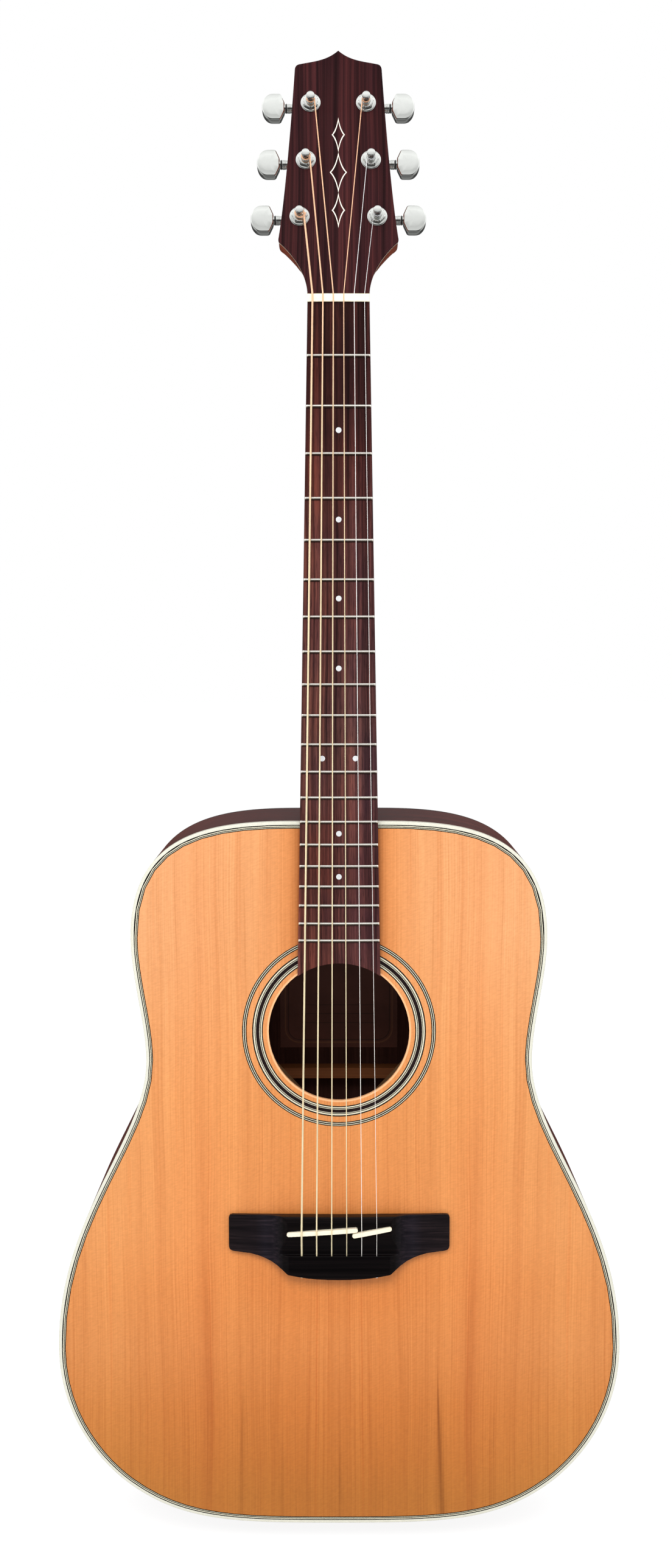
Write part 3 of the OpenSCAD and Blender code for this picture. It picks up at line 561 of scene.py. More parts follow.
def cedar_top():
    m = Material("cedar_top")
    x, y, z = m.split(m.position)
    offset = m.abs(x)
    # book-matched: the grain mirrors at the centre joint
    warp = m.noise(m.coords((offset, 0.012), 0.0, (z, 0.0035)), detail=2.0)
    grain = m.add(offset, m.mul(m.sub(warp, 0.5), 9.0))
    fine = m.noise(m.coords((grain, 0.95), (y, 0.4), (z, 0.004)), detail=4.0, rough=0.62)
    hair = m.noise(m.coords((grain, 3.4), (y, 2.0), (z, 0.02)), detail=2.0, rough=0.6)
    broad = m.noise(m.coords((grain, 0.11), 0.0, (z, 0.0018)), rough=0.5)
    cloud = m.field((0.010, 0.010, 0.006), rough=0.5)
    silk = m.noise(m.coords((x, 0.25), 3.0, (z, 0.12)), rough=0.6)
    # finish: deeper amber toward the tail, pale orange at the shoulders; part of the darkening
    # toward the tail is painted shade
    c = m.graded(z, CEDAR_TONE_AND_SHADE_BY_Z)
    c = m.multiply(1.0, c, m.graded(offset, CEDAR_BY_OFFSET))
    # painted shade on the top beside the fretboard and round the bridge, where they shade it
    past_hole = m.ease(z, (400.0, 425.0))
    beside = m.mul(m.ease(offset, (28.0, 60.0), (1.0, 0.0)), past_hole)
    bridge_x = m.math("DIVIDE", x, 66.0)
    bridge_z = m.math("DIVIDE", m.sub(z, 200.0), 38.0)
    around = m.ease(m.hypot(bridge_x, bridge_z), (0.9, 1.6), (0.35, 0.0))
    c = m.multiply(m.math("MAXIMUM", beside, around), c, (0.93, 0.80, 0.62))
    # a darker painted shadow right along the fretboard's edges
    board_edge_shadow = m.mul(m.ease(offset, (26.0, 36.0), (0.9, 0.0)), past_hole)
    c = m.multiply(board_edge_shadow, c, (0.62, 0.50, 0.34))
    # grain lines, hairs and broad bands
    c = m.tint(0.95, c, fine, (0.36, 0.64), [
        (0.0, (0.90, 0.845, 0.77)), (0.45, (0.985, 0.975, 0.955)), (1.0, (1.03, 1.045, 1.07))])
    c = m.tint(0.42, c, hair, (0.3, 0.7), [(0, (0.86, 0.82, 0.76)), (1, grey(1.06))])
    c = m.tint(0.60, c, broad, (0.3, 0.7), [
        (0, (0.87, 0.80, 0.73)), (0.5, (1, 1, 1)), (1, (1.04, 1.06, 1.08))])
    # redder ribbons of late wood, in loose groups
    ribbon = m.noise(m.coords((grain, 0.34), 7.0, (z, 0.0012)), rough=0.65)
    c = m.multiply(m.ease(ribbon, (0.55, 0.70), (0.0, 0.72)), c, (0.93, 0.80, 0.68))
    c = m.tint(0.55, c, cloud, (0.3, 0.7), [(0, (0.93, 0.90, 0.86)), (1, (1.04, 1.05, 1.06))])
    c = m.tint(0.40, c, silk, (0.35, 0.7), [(0, (0.94, 0.93, 0.92)), (1, grey(1.05))])
    # ray fleck: short slanting dashes across the grain
    slant_x = m.add(m.mul(x, 0.24), m.mul(z, 0.10))
    slant_z = m.add(m.mul(z, 0.85), m.mul(x, -0.30))
    fleck = m.noise(m.coords(slant_x, 5.0, slant_z), detail=2.0)
    c = m.tint(0.55, c, fleck, (0.35, 0.65), [(0, (0.90, 0.88, 0.85)), (1, grey(1.06))])
    # the centre joint
    middle = m.ease(offset, (3.0, 26.0), (1.0, 0.0))
    c = m.multiply(m.mul(middle, 0.12), c, (0.80, 0.72, 0.60))
    c = m.multiply(m.ease(offset, (0.12, 0.5), (0.22, 0.0)), c, (0.62, 0.50, 0.38))
    for streak_x, lean, half_width, tip_z, strength in CEDAR_STREAKS:
        line = m.add(m.sub(x, streak_x), m.mul(z, -lean))
        distance = m.abs(m.add(line, m.mul(m.sub(warp, 0.5), 5.0)))
        width = m.remap(z, (0.0, tip_z), (half_width, 0.35))
        across = m.ease(m.math("DIVIDE", distance, width), (0.0, 1.0), (1.0, 0.0))
        fade = m.mul(m.ease(z, (tip_z - 48, tip_z), (1.0, 0.0)),
                     m.remap(z, (0.0, tip_z - 55), (0.62, 1.0)))
        amount = m.mul(m.mul(across, fade), strength)
        amount = m.mul(amount, m.remap(fine, (0.35, 0.6), (1.0, 0.6)))
        c = m.multiply(amount, c, (0.62, 0.53, 0.30))
    # painted highlight along the soundhole's eased and polished edge, where the rounded rim catches
    # light
    hole = m.hypot(x, m.sub(z, HOLE_Z))
    edge = m.remap(hole, (HOLE_R + 0.9, HOLE_R + 1.5), (0.75, 0.0))
    c = m.mix(edge, c, (0.95, 0.52, 0.27))
    height = m.add(m.mul(fine, 0.7), m.mul(hair, 0.3))
    return m.finish(
        Base_Color=c, Roughness=m.remap(fine, (0.3, 0.7), (0.40, 0.50)),
        Normal=m.bump(height, strength=0.10, depth=0.12),
        Coat_Weight=0.35, Coat_Roughness=0.16, Specular_IOR_Level=0.35)


def wood(name, dark, mid, light, grain="z", fine=0.9, stretch=0.005, streak=0.6,
         spread=(0.33, 0.67), pore=0.5, pore_range=(0.60, 0.70), figure=0.0, patch=0.0,
         by_z=None, by_offset=None, by_x=None, rough=(0.35, 0.5), coat=0.2, coat_rough=0.2,
         bump=0.15, spec=0.4):
    """Grained wood. grain is its direction: "z", "x", "head" along the tilted headstock or
    "side" round the body. fine and stretch scale the grain across and along; streak weighs fine
    lines against broad ones. by_z, by_offset and by_x are tints by height, by distance from the
    centre line and from bass to treble."""
    m = Material(name)
    if grain == "side":
        x, y, z = m.attribute("grain_v"), m.mul(m.attribute("grain_w"), 1.0), m.attribute("grain_u")
    else:
        x, y, z = m.split(m.position)
    if grain == "head":
        above = m.sub(z, HEAD_Z)
        y, z = (m.sub(m.mul(y, HEAD_COS), m.mul(above, HEAD_SIN)),
                m.add(m.mul(above, HEAD_COS), m.mul(y, HEAD_SIN)))
    if grain == "x":
        x, z = z, x
    warp = m.noise(m.coords((x, 0.02), (y, 0.02), (z, 0.004)), detail=2.0)
    warped = m.add(x, m.mul(m.sub(warp, 0.5), 8.0))
    lines = m.noise(m.coords((warped, fine), (y, fine), (z, stretch)), detail=4.0, rough=0.6)
    bands = m.noise(m.coords((warped, 0.16), (y, 0.16), (z, stretch * 0.5)), rough=0.5)
    pores = m.noise(m.coords((warped, 3.2), (y, 3.2), (z, 0.10)), detail=2.0, rough=0.5)
    value = m.add(m.mul(lines, streak), m.mul(bands, 1 - streak))
    c = m.ramp(m.remap(value, spread), [(0.0, dark), (0.5, mid), (1.0, light)])
    pits = m.remap(pores, pore_range)
    c = m.mix(m.mul(pits, pore), c, tuple(q * 0.45 for q in dark))
    if figure:
        ripple = m.noise(m.coords((x, 0.03), (y, 0.03), (z, 0.16)), detail=2.0, rough=0.5)
        c = m.tint(figure, c, ripple, (0.35, 0.65), [
            (0, (0.80, 0.78, 0.76)), (1, (1.16, 1.14, 1.12))])
    if by_z:
        c = m.multiply(1.0, c, m.graded(m.split(m.position)[2], by_z))
    if by_offset:
        c = m.multiply(1.0, c, m.graded(m.abs(m.split(m.position)[0]), by_offset))
    if by_x:
        c = m.multiply(1.0, c, m.graded(m.split(m.position)[0], by_x))
    if patch:  # broad, uneven tints from red-brown to violet
        patch_z = m.add(m.mul(z, 0.016), m.mul(warped, 0.02))
        patches = m.noise(m.coords((warped, 0.075), (y, 0.05), patch_z))
        c = m.tint(patch, c, patches, (0.36, 0.64), [
            (0, (0.66, 0.66, 0.86)), (0.5, (1.0, 0.98, 0.98)), (1, (1.30, 1.10, 0.98))])
    height = m.sub(m.mul(lines, 0.5), m.mul(pits, 0.6))
    return m.finish(
        Base_Color=c, Roughness=m.remap(value, (0.3, 0.7), rough),
        Normal=m.bump(height, strength=bump, depth=0.15),
        Coat_Weight=coat, Coat_Roughness=coat_rough, Specular_IOR_Level=spec)


def plain(name, color, vary=0.06, rough=0.3, rough_vary=0.05, coat=0.0, scale=0.3,
          stretch=(1, 1, 1), metallic=0.0, bump=0.03, spec=0.5, subsurface=0.0):
    """Plastic, bone, lacquer or metal with a little variation, never a flat colour."""
    m = Material(name)
    coarse = m.field(tuple(scale * s for s in stretch), detail=4.0, rough=0.6)
    fine = m.field(tuple(scale * 9 * s for s in stretch), detail=2.0, rough=0.6)
    c = m.ramp(m.remap(m.add(m.mul(coarse, 0.7), m.mul(fine, 0.3)), (0.35, 0.65)), [
        (0, tuple(v * (1 - vary) for v in color)),
        (1, tuple(min(1.0, v * (1 + vary)) for v in color))])
    rough_range = (max(0.02, rough - rough_vary), rough + rough_vary)
    inputs = dict(
        Base_Color=c, Roughness=m.remap(coarse, (0.3, 0.7), rough_range),
        Normal=m.bump(m.add(fine, m.mul(coarse, 0.5)), strength=bump, depth=0.05),
        Metallic=metallic, Coat_Weight=coat, Coat_Roughness=0.1, Specular_IOR_Level=spec)
    if subsurface:
        inputs.update(Subsurface_Weight=subsurface, Subsurface_Radius=(0.002, 0.0015, 0.001))
    return m.finish(**inputs)


def string_metal(name, by_z, wound, rough, metallic):
    """by_z: colour along the length, from the bridge up to the posts; its changes are painted
    reflection on wire of one colour.
    """
    m = Material(name)
    z = m.split(m.position)[2]
    cloud = m.field((0.4, 0.4, 0.05))
    c = m.tint(1.0, m.graded(z, by_z), cloud, (0.35, 0.65), [(0, grey(0.86)), (1, grey(1.0))])
    if wound:
        height = m.math("SINE", m.mul(z, 2 * math.pi / 0.42))  # wrap pitch 0.42 mm
        # painted shade in the grooves between the wraps
        c = m.multiply(m.remap(height, (-1.0, -0.2), (0.35, 0.0)), c, (0.45, 0.38, 0.32))
    else:
        height = m.field((6, 6, 0.3), detail=2.0)
    return m.finish(
        Base_Color=c, Roughness=m.remap(cloud, (0.3, 0.7), (rough - 0.04, rough + 0.06)),
        Metallic=metallic, Normal=m.bump(height, strength=0.5 if wound else 0.05, depth=0.05))


def fret_silver():
    """Polished crown with painted light: a painted highlight on the flank that faces up, a painted
    reflection of the dark board on the flank that faces down.
    """
    m = Material("fret_silver")
    cloud = m.field((0.1, 0.5, 0.5), rough=0.6)
    normal_z = m.split(m.node("NewGeometry").outputs["Normal"])[2]
    c = m.ramp(m.remap(normal_z, (-0.5, 0.2)), [
        (0, (0.075, 0.040, 0.032)), (0.42, (0.20, 0.13, 0.10)),
        (0.62, (0.93, 0.86, 0.74)), (1, (0.98, 0.95, 0.88))])
    c = m.tint(0.3, c, cloud, (0.35, 0.65), [(0, grey(0.86)), (1, grey(1.05))])
    return m.finish(
        Base_Color=c, Roughness=m.remap(cloud, (0.3, 0.7), (0.14, 0.22)), Metallic=0.85,
        Normal=m.bump(cloud, strength=0.03, depth=0.05))


def label_paper():
    m = Material("label_paper")
    x, _, z = m.split(m.position)
    cloud = m.field(grey(0.05), detail=4.0, rough=0.6)
    fibre = m.field(grey(3), rough=0.6)
    # paper given a dark tone as painted shade inside the body; the rules below are print
    c = m.ramp(m.remap(cloud, (0.3, 0.7)), [
        (0, (0.046, 0.0150, 0.0105)), (1, (0.062, 0.0210, 0.0145))])
    c = m.tint(0.3, c, fibre, (0.3, 0.7), [(0, (0.85, 0.84, 0.82)), (1, grey(1.05))])

    def band(value, centre, half_width):
        return m.less(m.abs(m.sub(value, centre)), half_width)

    # a round-cornered double rule and a few blank writing lines, no lettering
    past_x = m.math("MAXIMUM", m.sub(m.abs(x), 30.0))
    past_z = m.math("MAXIMUM", m.sub(m.abs(m.sub(z, 366.0)), 24.0))
    border = m.hypot(past_x, past_z)
    wide_rule, thin_rule = band(border, 11.0, 0.55), band(border, 8.8, 0.22)
    ruled_area = m.mul(m.less(m.abs(x), 28.0), band(z, 352.0, 12.0))
    lines = m.mul(band(m.math("MODULO", z, 7.0), 3.5, 0.16), ruled_area)
    c = m.mix(wide_rule, c, (0.085, 0.036, 0.018))
    c = m.mix(m.math("MAXIMUM", thin_rule, lines), c, (0.012, 0.006, 0.005))
    return m.finish(
        Base_Color=c, Roughness=m.remap(fibre, (0.3, 0.7), (0.75, 0.9)),
        Normal=m.bump(fibre, strength=0.15, depth=0.05))


def pearl_dot():
    m = Material("pearl_dot")
    swirl = m.field((0.9, 0.9, 0.5), rough=0.5, distortion=1.2)
    c = m.ramp(m.remap(swirl, (0.3, 0.7)), [
        (0, (0.50, 0.53, 0.60)), (0.4, (0.68, 0.68, 0.70)),
        (0.7, (0.60, 0.64, 0.66)), (1, (0.74, 0.71, 0.74))])
    return m.finish(
        Base_Color=c, Roughness=m.remap(swirl, (0.3, 0.7), (0.15, 0.3)),
        Normal=m.bump(swirl, strength=0.08, depth=0.1), Coat_Weight=0.5, Coat_Roughness=0.08)


UNFINISHED = dict(rough=(0.6, 0.75), coat=0.0)
SPRUCE_COLORS = [(0.48, 0.32, 0.17), (0.60, 0.42, 0.24), (0.70, 0.52, 0.32)]

CEDAR = cedar_top()
MAHOGANY_SIDE = wood(
    "mahogany_side", (0.046, 0.0120, 0.0085), (0.080, 0.0205, 0.0150), (0.122, 0.0330, 0.0230),
    grain="side", fine=0.5, figure=0.35, rough=(0.38, 0.50), coat=0.0, spec=0.08,
    by_offset=[(0, (0.60, 0.56, 0.66)), (60, (0.62, 0.58, 0.68)), (130, (0.98, 0.90, 0.94)),
               (200, (1.05, 0.95, 0.95))])
MAHOGANY_BODY = wood(
    "mahogany_body", (0.042, 0.0120, 0.0082), (0.072, 0.0205, 0.0140), (0.110, 0.0330, 0.0220),
    fine=0.5, figure=0.35, rough=(0.30, 0.42), coat=0.10, coat_rough=0.18, spec=0.20)
# inside of the back: unfinished mahogany, darkened further as painted shade inside the closed body
MAHOGANY_INSIDE_SHADED = wood(
    "mahogany_inside_shaded", (0.015, 0.0062, 0.0050), (0.024, 0.0100, 0.0080), (0.036, 0.0150, 0.0120),
    fine=0.5, pore=0.4, figure=0.3, spec=0.05, **UNFINISHED)
MAHOGANY_NECK = wood(
    "mahogany_neck", (0.088, 0.0150, 0.0060), (0.150, 0.0270, 0.0100), (0.215, 0.0440, 0.0165),
    fine=0.6, pore=0.45, rough=(0.30, 0.42), coat=0.18, spec=0.2)
MAHOGANY_BLOCK = wood(
    "mahogany_block", (0.16, 0.07, 0.035), (0.22, 0.10, 0.05), (0.30, 0.15, 0.08),
    fine=0.6, **UNFINISHED)
SPRUCE_BRACE = wood("spruce_brace", *SPRUCE_COLORS, grain="x", pore=0.0, **UNFINISHED)
# braces inside the body: darkened well below their own wood tone as painted shade
TOP_BRACE_SHADED = wood(
    "top_brace", (0.060, 0.030, 0.014), (0.085, 0.044, 0.020), (0.115, 0.062, 0.030),
    pore=0.0, spec=0.1, **UNFINISHED)
BACK_BRACE_SHADED = wood(
    "back_brace", (0.075, 0.024, 0.0065), (0.110, 0.037, 0.0105), (0.150, 0.054, 0.0170),
    grain="x", pore=0.2, **UNFINISHED)
SPRUCE_BLOCK = wood("spruce_block", *SPRUCE_COLORS, pore=0.0, **UNFINISHED)
ROSEWOOD_FACING = wood(
    "rosewood_facing", (0.0075, 0.0024, 0.0028), (0.026, 0.0076, 0.0085), (0.066, 0.0182, 0.0180),
    grain="head", fine=0.55, stretch=0.0022, spread=(0.36, 0.64), pore=0.12, patch=0.35,
    rough=(0.34, 0.44), coat=0.0, spec=0.06,
    by_z=[(880, (1.10, 1.02, 1.06)), (960, (0.98, 0.90, 0.94)), (1050, (0.82, 0.72, 0.78))])
# by_z below paints glare along the board: lighter and bluer where it catches the light, darker
# toward the nut
ROSEWOOD_BOARD = wood(
    "rosewood_board", (0.016, 0.0054, 0.0052), (0.053, 0.018, 0.0152), (0.122, 0.043, 0.033),
    fine=0.62, stretch=0.0035, streak=0.58, spread=(0.37, 0.63), pore=0.62,
    pore_range=(0.55, 0.65), patch=0.75, rough=(0.36, 0.52), coat=0.0, bump=0.3, spec=0.2,
    by_x=[(-27, (1.10, 1.03, 0.94)), (0, (1.0, 1.0, 1.0)), (27, (0.86, 0.90, 1.03))],
    by_z=[(400, (1.35, 1.18, 1.22)), (445, (1.30, 1.14, 1.20)), (483, (1.16, 1.00, 1.05)),
          (526, (1.32, 1.33, 1.50)), (570, (1.44, 1.58, 1.65)), (612, (1.37, 1.42, 1.54)),
          (655, (1.30, 1.22, 1.30)), (697, (1.38, 1.28, 1.31)), (739, (1.16, 0.99, 1.01)),
          (781, (0.80, 0.61, 0.63)), (822, (0.62, 0.42, 0.41)), (870, (0.53, 0.36, 0.35))])
# by_offset below paints light: shade on the bridge's flat centre, a bluish painted sheen on its
# scooped wings
EBONY = wood(
    "ebony_bridge", (0.0036, 0.0028, 0.0032), (0.0078, 0.0056, 0.0060), (0.021, 0.0130, 0.0130),
    grain="x", fine=0.8, pore=0.3, rough=(0.28, 0.42), coat=0.0, bump=0.25, spec=0.16,
    by_offset=[(0, (0.30, 0.28, 0.29)), (40, (0.32, 0.29, 0.31)), (46, (1.2, 1.25, 1.7)),
               (53, (1.55, 1.7, 2.3)), (60, (1.25, 1.2, 1.4)), (80, (1.35, 1.25, 1.3))])
CREAM_LINE = plain("cream_line", srgb(216, 211, 188), vary=0.05, rough=0.35, coat=0.1)
CREAM_BINDING = plain("cream_binding", srgb(213, 212, 198), vary=0.05, coat=0.15,
                      stretch=(1, 1, 0.6), spec=0.35)
BLACK_LINE = plain("black_line", (0.006, 0.0055, 0.005), vary=0.2, rough=0.4, coat=0.05, spec=0.2)
ROSETTE_BAND = wood(
    "rosette_band", (0.0065, 0.0030, 0.0034), (0.0115, 0.0052, 0.0055), (0.021, 0.0095, 0.0090),
    fine=0.8, pore=0.2, rough=(0.35, 0.45), coat=0.3)
DARK_BINDING = plain("dark_binding", (0.022, 0.009, 0.006), vary=0.2, rough=0.28, coat=0.4,
                     stretch=(1, 1, 0.4))
BONE = plain("bone", srgb(243, 234, 210), vary=0.05, rough=0.28, coat=0.3, scale=0.25,
             stretch=(0.3, 1, 1), subsurface=0.15)
CHROME = plain("chrome", (0.85, 0.87, 0.84), vary=0.025, rough=0.08, rough_vary=0.02,
               metallic=1.0, scale=0.2, bump=0.002)
FRET_SILVER = fret_silver()
ROD_STEEL = plain("rod_steel", (0.45, 0.44, 0.43), vary=0.12, rough=0.35, metallic=1.0, bump=0.05)
DARK_STEEL = plain("dark_steel", (0.10, 0.095, 0.09), vary=0.15, rough=0.35, metallic=1.0,
                   scale=0.4, bump=0.05)
GEAR_BRONZE = plain("gear_bronze", (0.55, 0.35, 0.16), vary=0.12, metallic=1.0, scale=0.6,
                    bump=0.05)
BLACK_PLASTIC = plain("black_plastic", grey(0.012), vary=0.25, rough=0.22, coat=0.3, scale=0.25)
NYLON = plain("nylon_washer", (0.020, 0.018, 0.018), vary=0.2, rough=0.4, coat=0.1, scale=0.6)
# the by_z colours below are painted reflection on wire of one colour
BRONZE_WRAP = string_metal(
    "bronze_wrap", wound=True, rough=0.34, metallic=0.3,
    by_z=[(180, (1.0, 0.88, 0.58)), (440, (1.0, 0.88, 0.58)), (600, (1.0, 0.85, 0.56)),
          (800, (1.0, 0.74, 0.48)), (870, (1.0, 0.62, 0.40)), (1030, (1.0, 0.56, 0.34))])
PLAIN_STEEL = string_metal(
    "plain_steel", wound=False, rough=0.28, metallic=0.15,
    by_z=[(180, (1.0, 0.97, 0.92)), (860, (1.0, 0.99, 0.97)), (900, (0.75, 0.75, 0.76)),
          (1030, (0.70, 0.70, 0.72))])
LABEL_SHADED = label_paper()
PEARL = pearl_dot()
INLAY = plain("inlay_line", srgb(226, 220, 208), coat=0.3, scale=0.5)

# ---------------------------------------------------------------- CAD pieces kept as they are
KEPT = {
    "soundboard": CEDAR, "rosette_black_lines": BLACK_LINE, "rosette_cream_lines": CREAM_LINE,
    "rosette_dark_band": ROSETTE_BAND, "purfling_black": BLACK_LINE, "purfling_cream": CREAM_LINE,
    "linings": SPRUCE_BLOCK, "neck_block": MAHOGANY_BLOCK, "tail_block": MAHOGANY_BLOCK,
    "top_braces": TOP_BRACE_SHADED, "bridge_plate": SPRUCE_BRACE, "back_braces": BACK_BRACE_SHADED,
    "label": LABEL_SHADED, "truss_rod": ROD_STEEL, "truss_rod_nut": DARK_STEEL, "tuner_screws": CHROME,
}
for k in range(1, 7):
    KEPT[f"tuner_{k}_worm"] = ROD_STEEL
    KEPT[f"tuner_{k}_gear"] = GEAR_BRONZE
for node_name, kept_material in KEPT.items():
    kept_mesh = nodes[node_name].data
    kept_mesh.materials.clear()
    kept_mesh.materials.append(kept_material)
    if node_name not in ("soundboard", "purfling_black", "purfling_cream"):
        shade(kept_mesh, 30)


# ---------------------------------------------------------------- body shell
def rim(insets, depths):
    """A section swept round the outline; depths gives y at the section's (x, z) points."""
    rings = []
    for point, normal in zip(OUTLINE, NORMALS):
        plan = point[None, :] - insets[:, None] * normal[None, :]
        rings.append(np.stack([plan[:, 0], depths(plan), plan[:, 1]], 1))
    return loft(rings, "joined")


def bindings():
    a = np.linspace(0, math.pi / 2, 5)
    round_inset = BINDING_ROUND - BINDING_ROUND * np.sin(a)
    round_depth = BINDING_ROUND - BINDING_ROUND * np.cos(a)
    insets = np.concatenate([[BINDING_WIDTH], round_inset, [0, BINDING_WIDTH]])
    top_y = np.concatenate([[0.0], round_depth, [TOP_BINDING_DEPTH] * 2])
    make("top_binding_ring", rim(insets, lambda plan: top_y), CREAM_BINDING,
         slot="cream_binding", node="top_binding")
    insets = np.concatenate([[0, 0], round_inset[::-1], [BINDING_WIDTH] * 2])
    below = np.concatenate([[BACK_BINDING_DEPTH, 2.5], round_depth[::-1],
                            [0.0, BACK_BINDING_DEPTH]])
    make("back_binding_ring",
         rim(insets, lambda plan: back_surface(plan[:, 0], plan[:, 1]) - below),
         DARK_BINDING, slot="dark_binding", node="back_binding")


def body_side(name, sign):
    """One bent side, with grain coordinates running round the body."""
    rows = np.linspace(0, 1, 13)
    front = TOP_BINDING_DEPTH + GAP
    rings, grain_u, grain_v = [], [], []
    for point, normal, length in zip(HALF_POINTS, HALF_NORMALS, HALF_LENGTH):
        walls = []
        for x, z in (point, point - SIDE_THICK * normal):
            x = max(x, 0.03)
            y = front + (back_surface(x, z) - BACK_BINDING_DEPTH - GAP - front) * rows
            walls.append(np.stack([np.full(13, sign * x), y, np.full(13, z)], 1))
        ring = np.vstack([walls[0], walls[1][::-1]])
        rings.append(ring)
        grain_u += [length + (0 if sign < 0 else 3.0)] * 26
        grain_v += list(ring[:, 1])
    make(name + "_wood", loft(rings), MAHOGANY_SIDE, slot="body_mahogany", node=name,
         attributes={"grain_u": grain_u, "grain_v": grain_v,
                     "grain_w": [sign * 20.0] * len(grain_u)})


def arched_back():
    """Outer and inner faces as star-shaped rings about a centre inside the outline."""
    edge = OUTLINE - (BINDING_WIDTH + GAP) * NORMALS
    centre_z = 250.0
    n = len(edge)

    def dish(inset):
        rings = []
        for k in np.concatenate([np.linspace(0, 0.9, 12)[1:], [0.96, 1.0]]):
            x, z = edge[:, 0] * k, centre_z + (edge[:, 1] - centre_z) * k
            rings.append(np.stack([x, back_surface(x, z, inset), z], 1))
        points, faces = loft(rings, "open")
        centre = [[0, float(back_surface(0, centre_z, inset)), centre_z]]
        fan = [(0, 1 + i, 1 + (i + 1) % n) for i in range(n)]
        return np.vstack([centre, points]), fan + [tuple(i + 1 for i in f) for f in faces]

    outer, inner = dish(0.0), dish(BACK_THICK)
    size = len(outer[0])
    points, faces = join([outer, inner])
    outer_edge, inner_edge = size - n, 2 * size - n
    for i in range(n):
        j = (i + 1) % n
        faces.append((outer_edge + i, outer_edge + j, inner_edge + j, inner_edge + i))
    ob = make("back_arched", (points, faces), MAHOGANY_BODY, slot="body_mahogany",
              node="back_plate")
    ob.data.materials.append(MAHOGANY_INSIDE_SHADED)
    for polygon in ob.data.polygons:
        if min(polygon.vertices) >= size:
            polygon.material_index = 1


bindings()
body_side("side_bass", -1)
body_side("side_treble", 1)
arched_back()

# ---------------------------------------------------------------- neck, headstock
# treble half of the headstock outline, nut to tip: cubic Bezier of (x, z), point count
HEAD_CURVES = [
    ([(NUT_HALF, 0), (NUT_HALF, 13), (28.5, 27), (40.2, 38)], 26),
    ([(40.2, 38), (41, 38.6), (41.6, 39.3), (41.4, 41)], 6),
    ([(41.4, 41), (37, 70), (33, 125), (30.5, 166)], 20),
    ([(30.5, 166), (30.4, 169.4), (29.6, 170.9), (26.5, 171.4)], 10),
    ([(26.5, 171.4), (17, 173.4), (8, 174), (0, 181.6)], 30),
]


def neck_weights(points):
    """Soften the wood everywhere but the fretboard's glue plane and the headstock's front."""
    _, y, z = points.T
    depth, _ = to_head(y, z)
    return np.where(z > HEAD_Z + 4, np.clip((depth - 1.2) / 2.0, 0.0, 1),
                    np.clip((y - 1.5) / 2.5, 0, 1))


def neck():
    ob = remeshed("neck_carved", "neck", MAHOGANY_NECK, voxel=1.0, pairs=4, relax=14,
                  slot="neck_mahogany", weights=neck_weights)
    # the headstock's lower edges stay square-sided until the throat turns round
    points = read_points(ob.data)
    depth, height = to_head(points[:, 1], points[:, 2])
    half = np.abs(points[:, 0])
    throat = bezier(HEAD_CURVES[0][0], np.linspace(0, 1, 60))
    limit = np.interp(height, throat[:, 1], throat[:, 0]) - 0.12
    power = np.interp(height, [14, 20, 26, 32, 37], [2.6, 3.4, 5.5, 9.0, 12.0])
    share = np.clip((depth - 1.05) / 13.4, 0, 1)
    wanted = limit * (1 - share ** power) ** (1 / power)
    sides = (height > 14) & (height < 37.5) & (depth > 1.6) & (half > 0.6 * limit)
    widened = half + np.maximum(0, wanted - half) * np.clip((height - 14) / 8, 0, 1)
    points[sides, 0] = (np.sign(points[:, 0]) * widened)[sides]
    write_points(ob.data, points)
    ob.data.update()


def circle(x, z, radius):
    a = np.linspace(0, 2 * math.pi, 48, endpoint=False)
    return np.stack([x + radius * np.cos(a), z + radius * np.sin(a)], 1)


def lozenge(centre_z, half_width, half_height):
    """Four-pointed figure with hollow sides."""
    tips = np.array([(half_width, 0), (0, half_height), (-half_width, 0), (0, -half_height)])
    t = np.linspace(0, 1, 14, endpoint=False)
    sides = [quadratic(a, (a + b) * 0.30, b, t) for a, b in zip(tips, np.roll(tips, -1, 0))]
    return np.vstack(sides) + [0, centre_z]


def headstock_plates():
    half = np.vstack([bezier(curve, np.linspace(0, 1, count, endpoint=False))
                      for curve, count in HEAD_CURVES] + [[HEAD_CURVES[-1][0][-1]]])
    half[0] = (NUT_HALF, 0.15)
    loops = [np.vstack([half, half[:-1][::-1] * [-1, 1]])]
    loops += [circle(x, z, 4.45) for x, z in POSTS]
    head_plate("headstock_face", loops, HEAD_FRONT, 0.68, 0.22, ROSEWOOD_FACING,
               slot="rosewood_facing", node="headstock_facing")
    head_plate("headstock_pinstripe", loops, 0.70, 1.03, 0.05, CREAM_LINE, bevel_steps=1,
               slot="cream_line")
    # a plain line ornament between the strings: (z, half width, half height)
    loops = []
    for z, half_width, half_height in ((62, 4.6, 13), (90, 6.0, 15), (118, 4.6, 13)):
        loops += [lozenge(z, half_width, half_height),
                  lozenge(z, half_width - 0.95, half_height - 2.6)]
    head_plate("headstock_ornament", loops, HEAD_FRONT - 0.03, HEAD_FRONT + 0.12, 0.02, INLAY,
               bevel_steps=1, slot="cream_line")


neck()
headstock_plates()

# ---------------------------------------------------------------- fretboard
# pearl dots: (fret, x)
DOTS = [(3, 0), (5, 0), (7, 0), (9, 0), (12, -11.6), (12, 11.6), (15, 0), (17, 0)]
# (radius, height above the board)
POCKET_PROFILE = [(0, -1.2), (2.02, -1.2), (2.02, 1.0), (0, 1.0)]
PEARL_PROFILE = [(0, -1.1), (1.97, -1.1), (1.97, -0.06), (1.93, -0.01), (1.8, 0.0), (0, 0.012)]


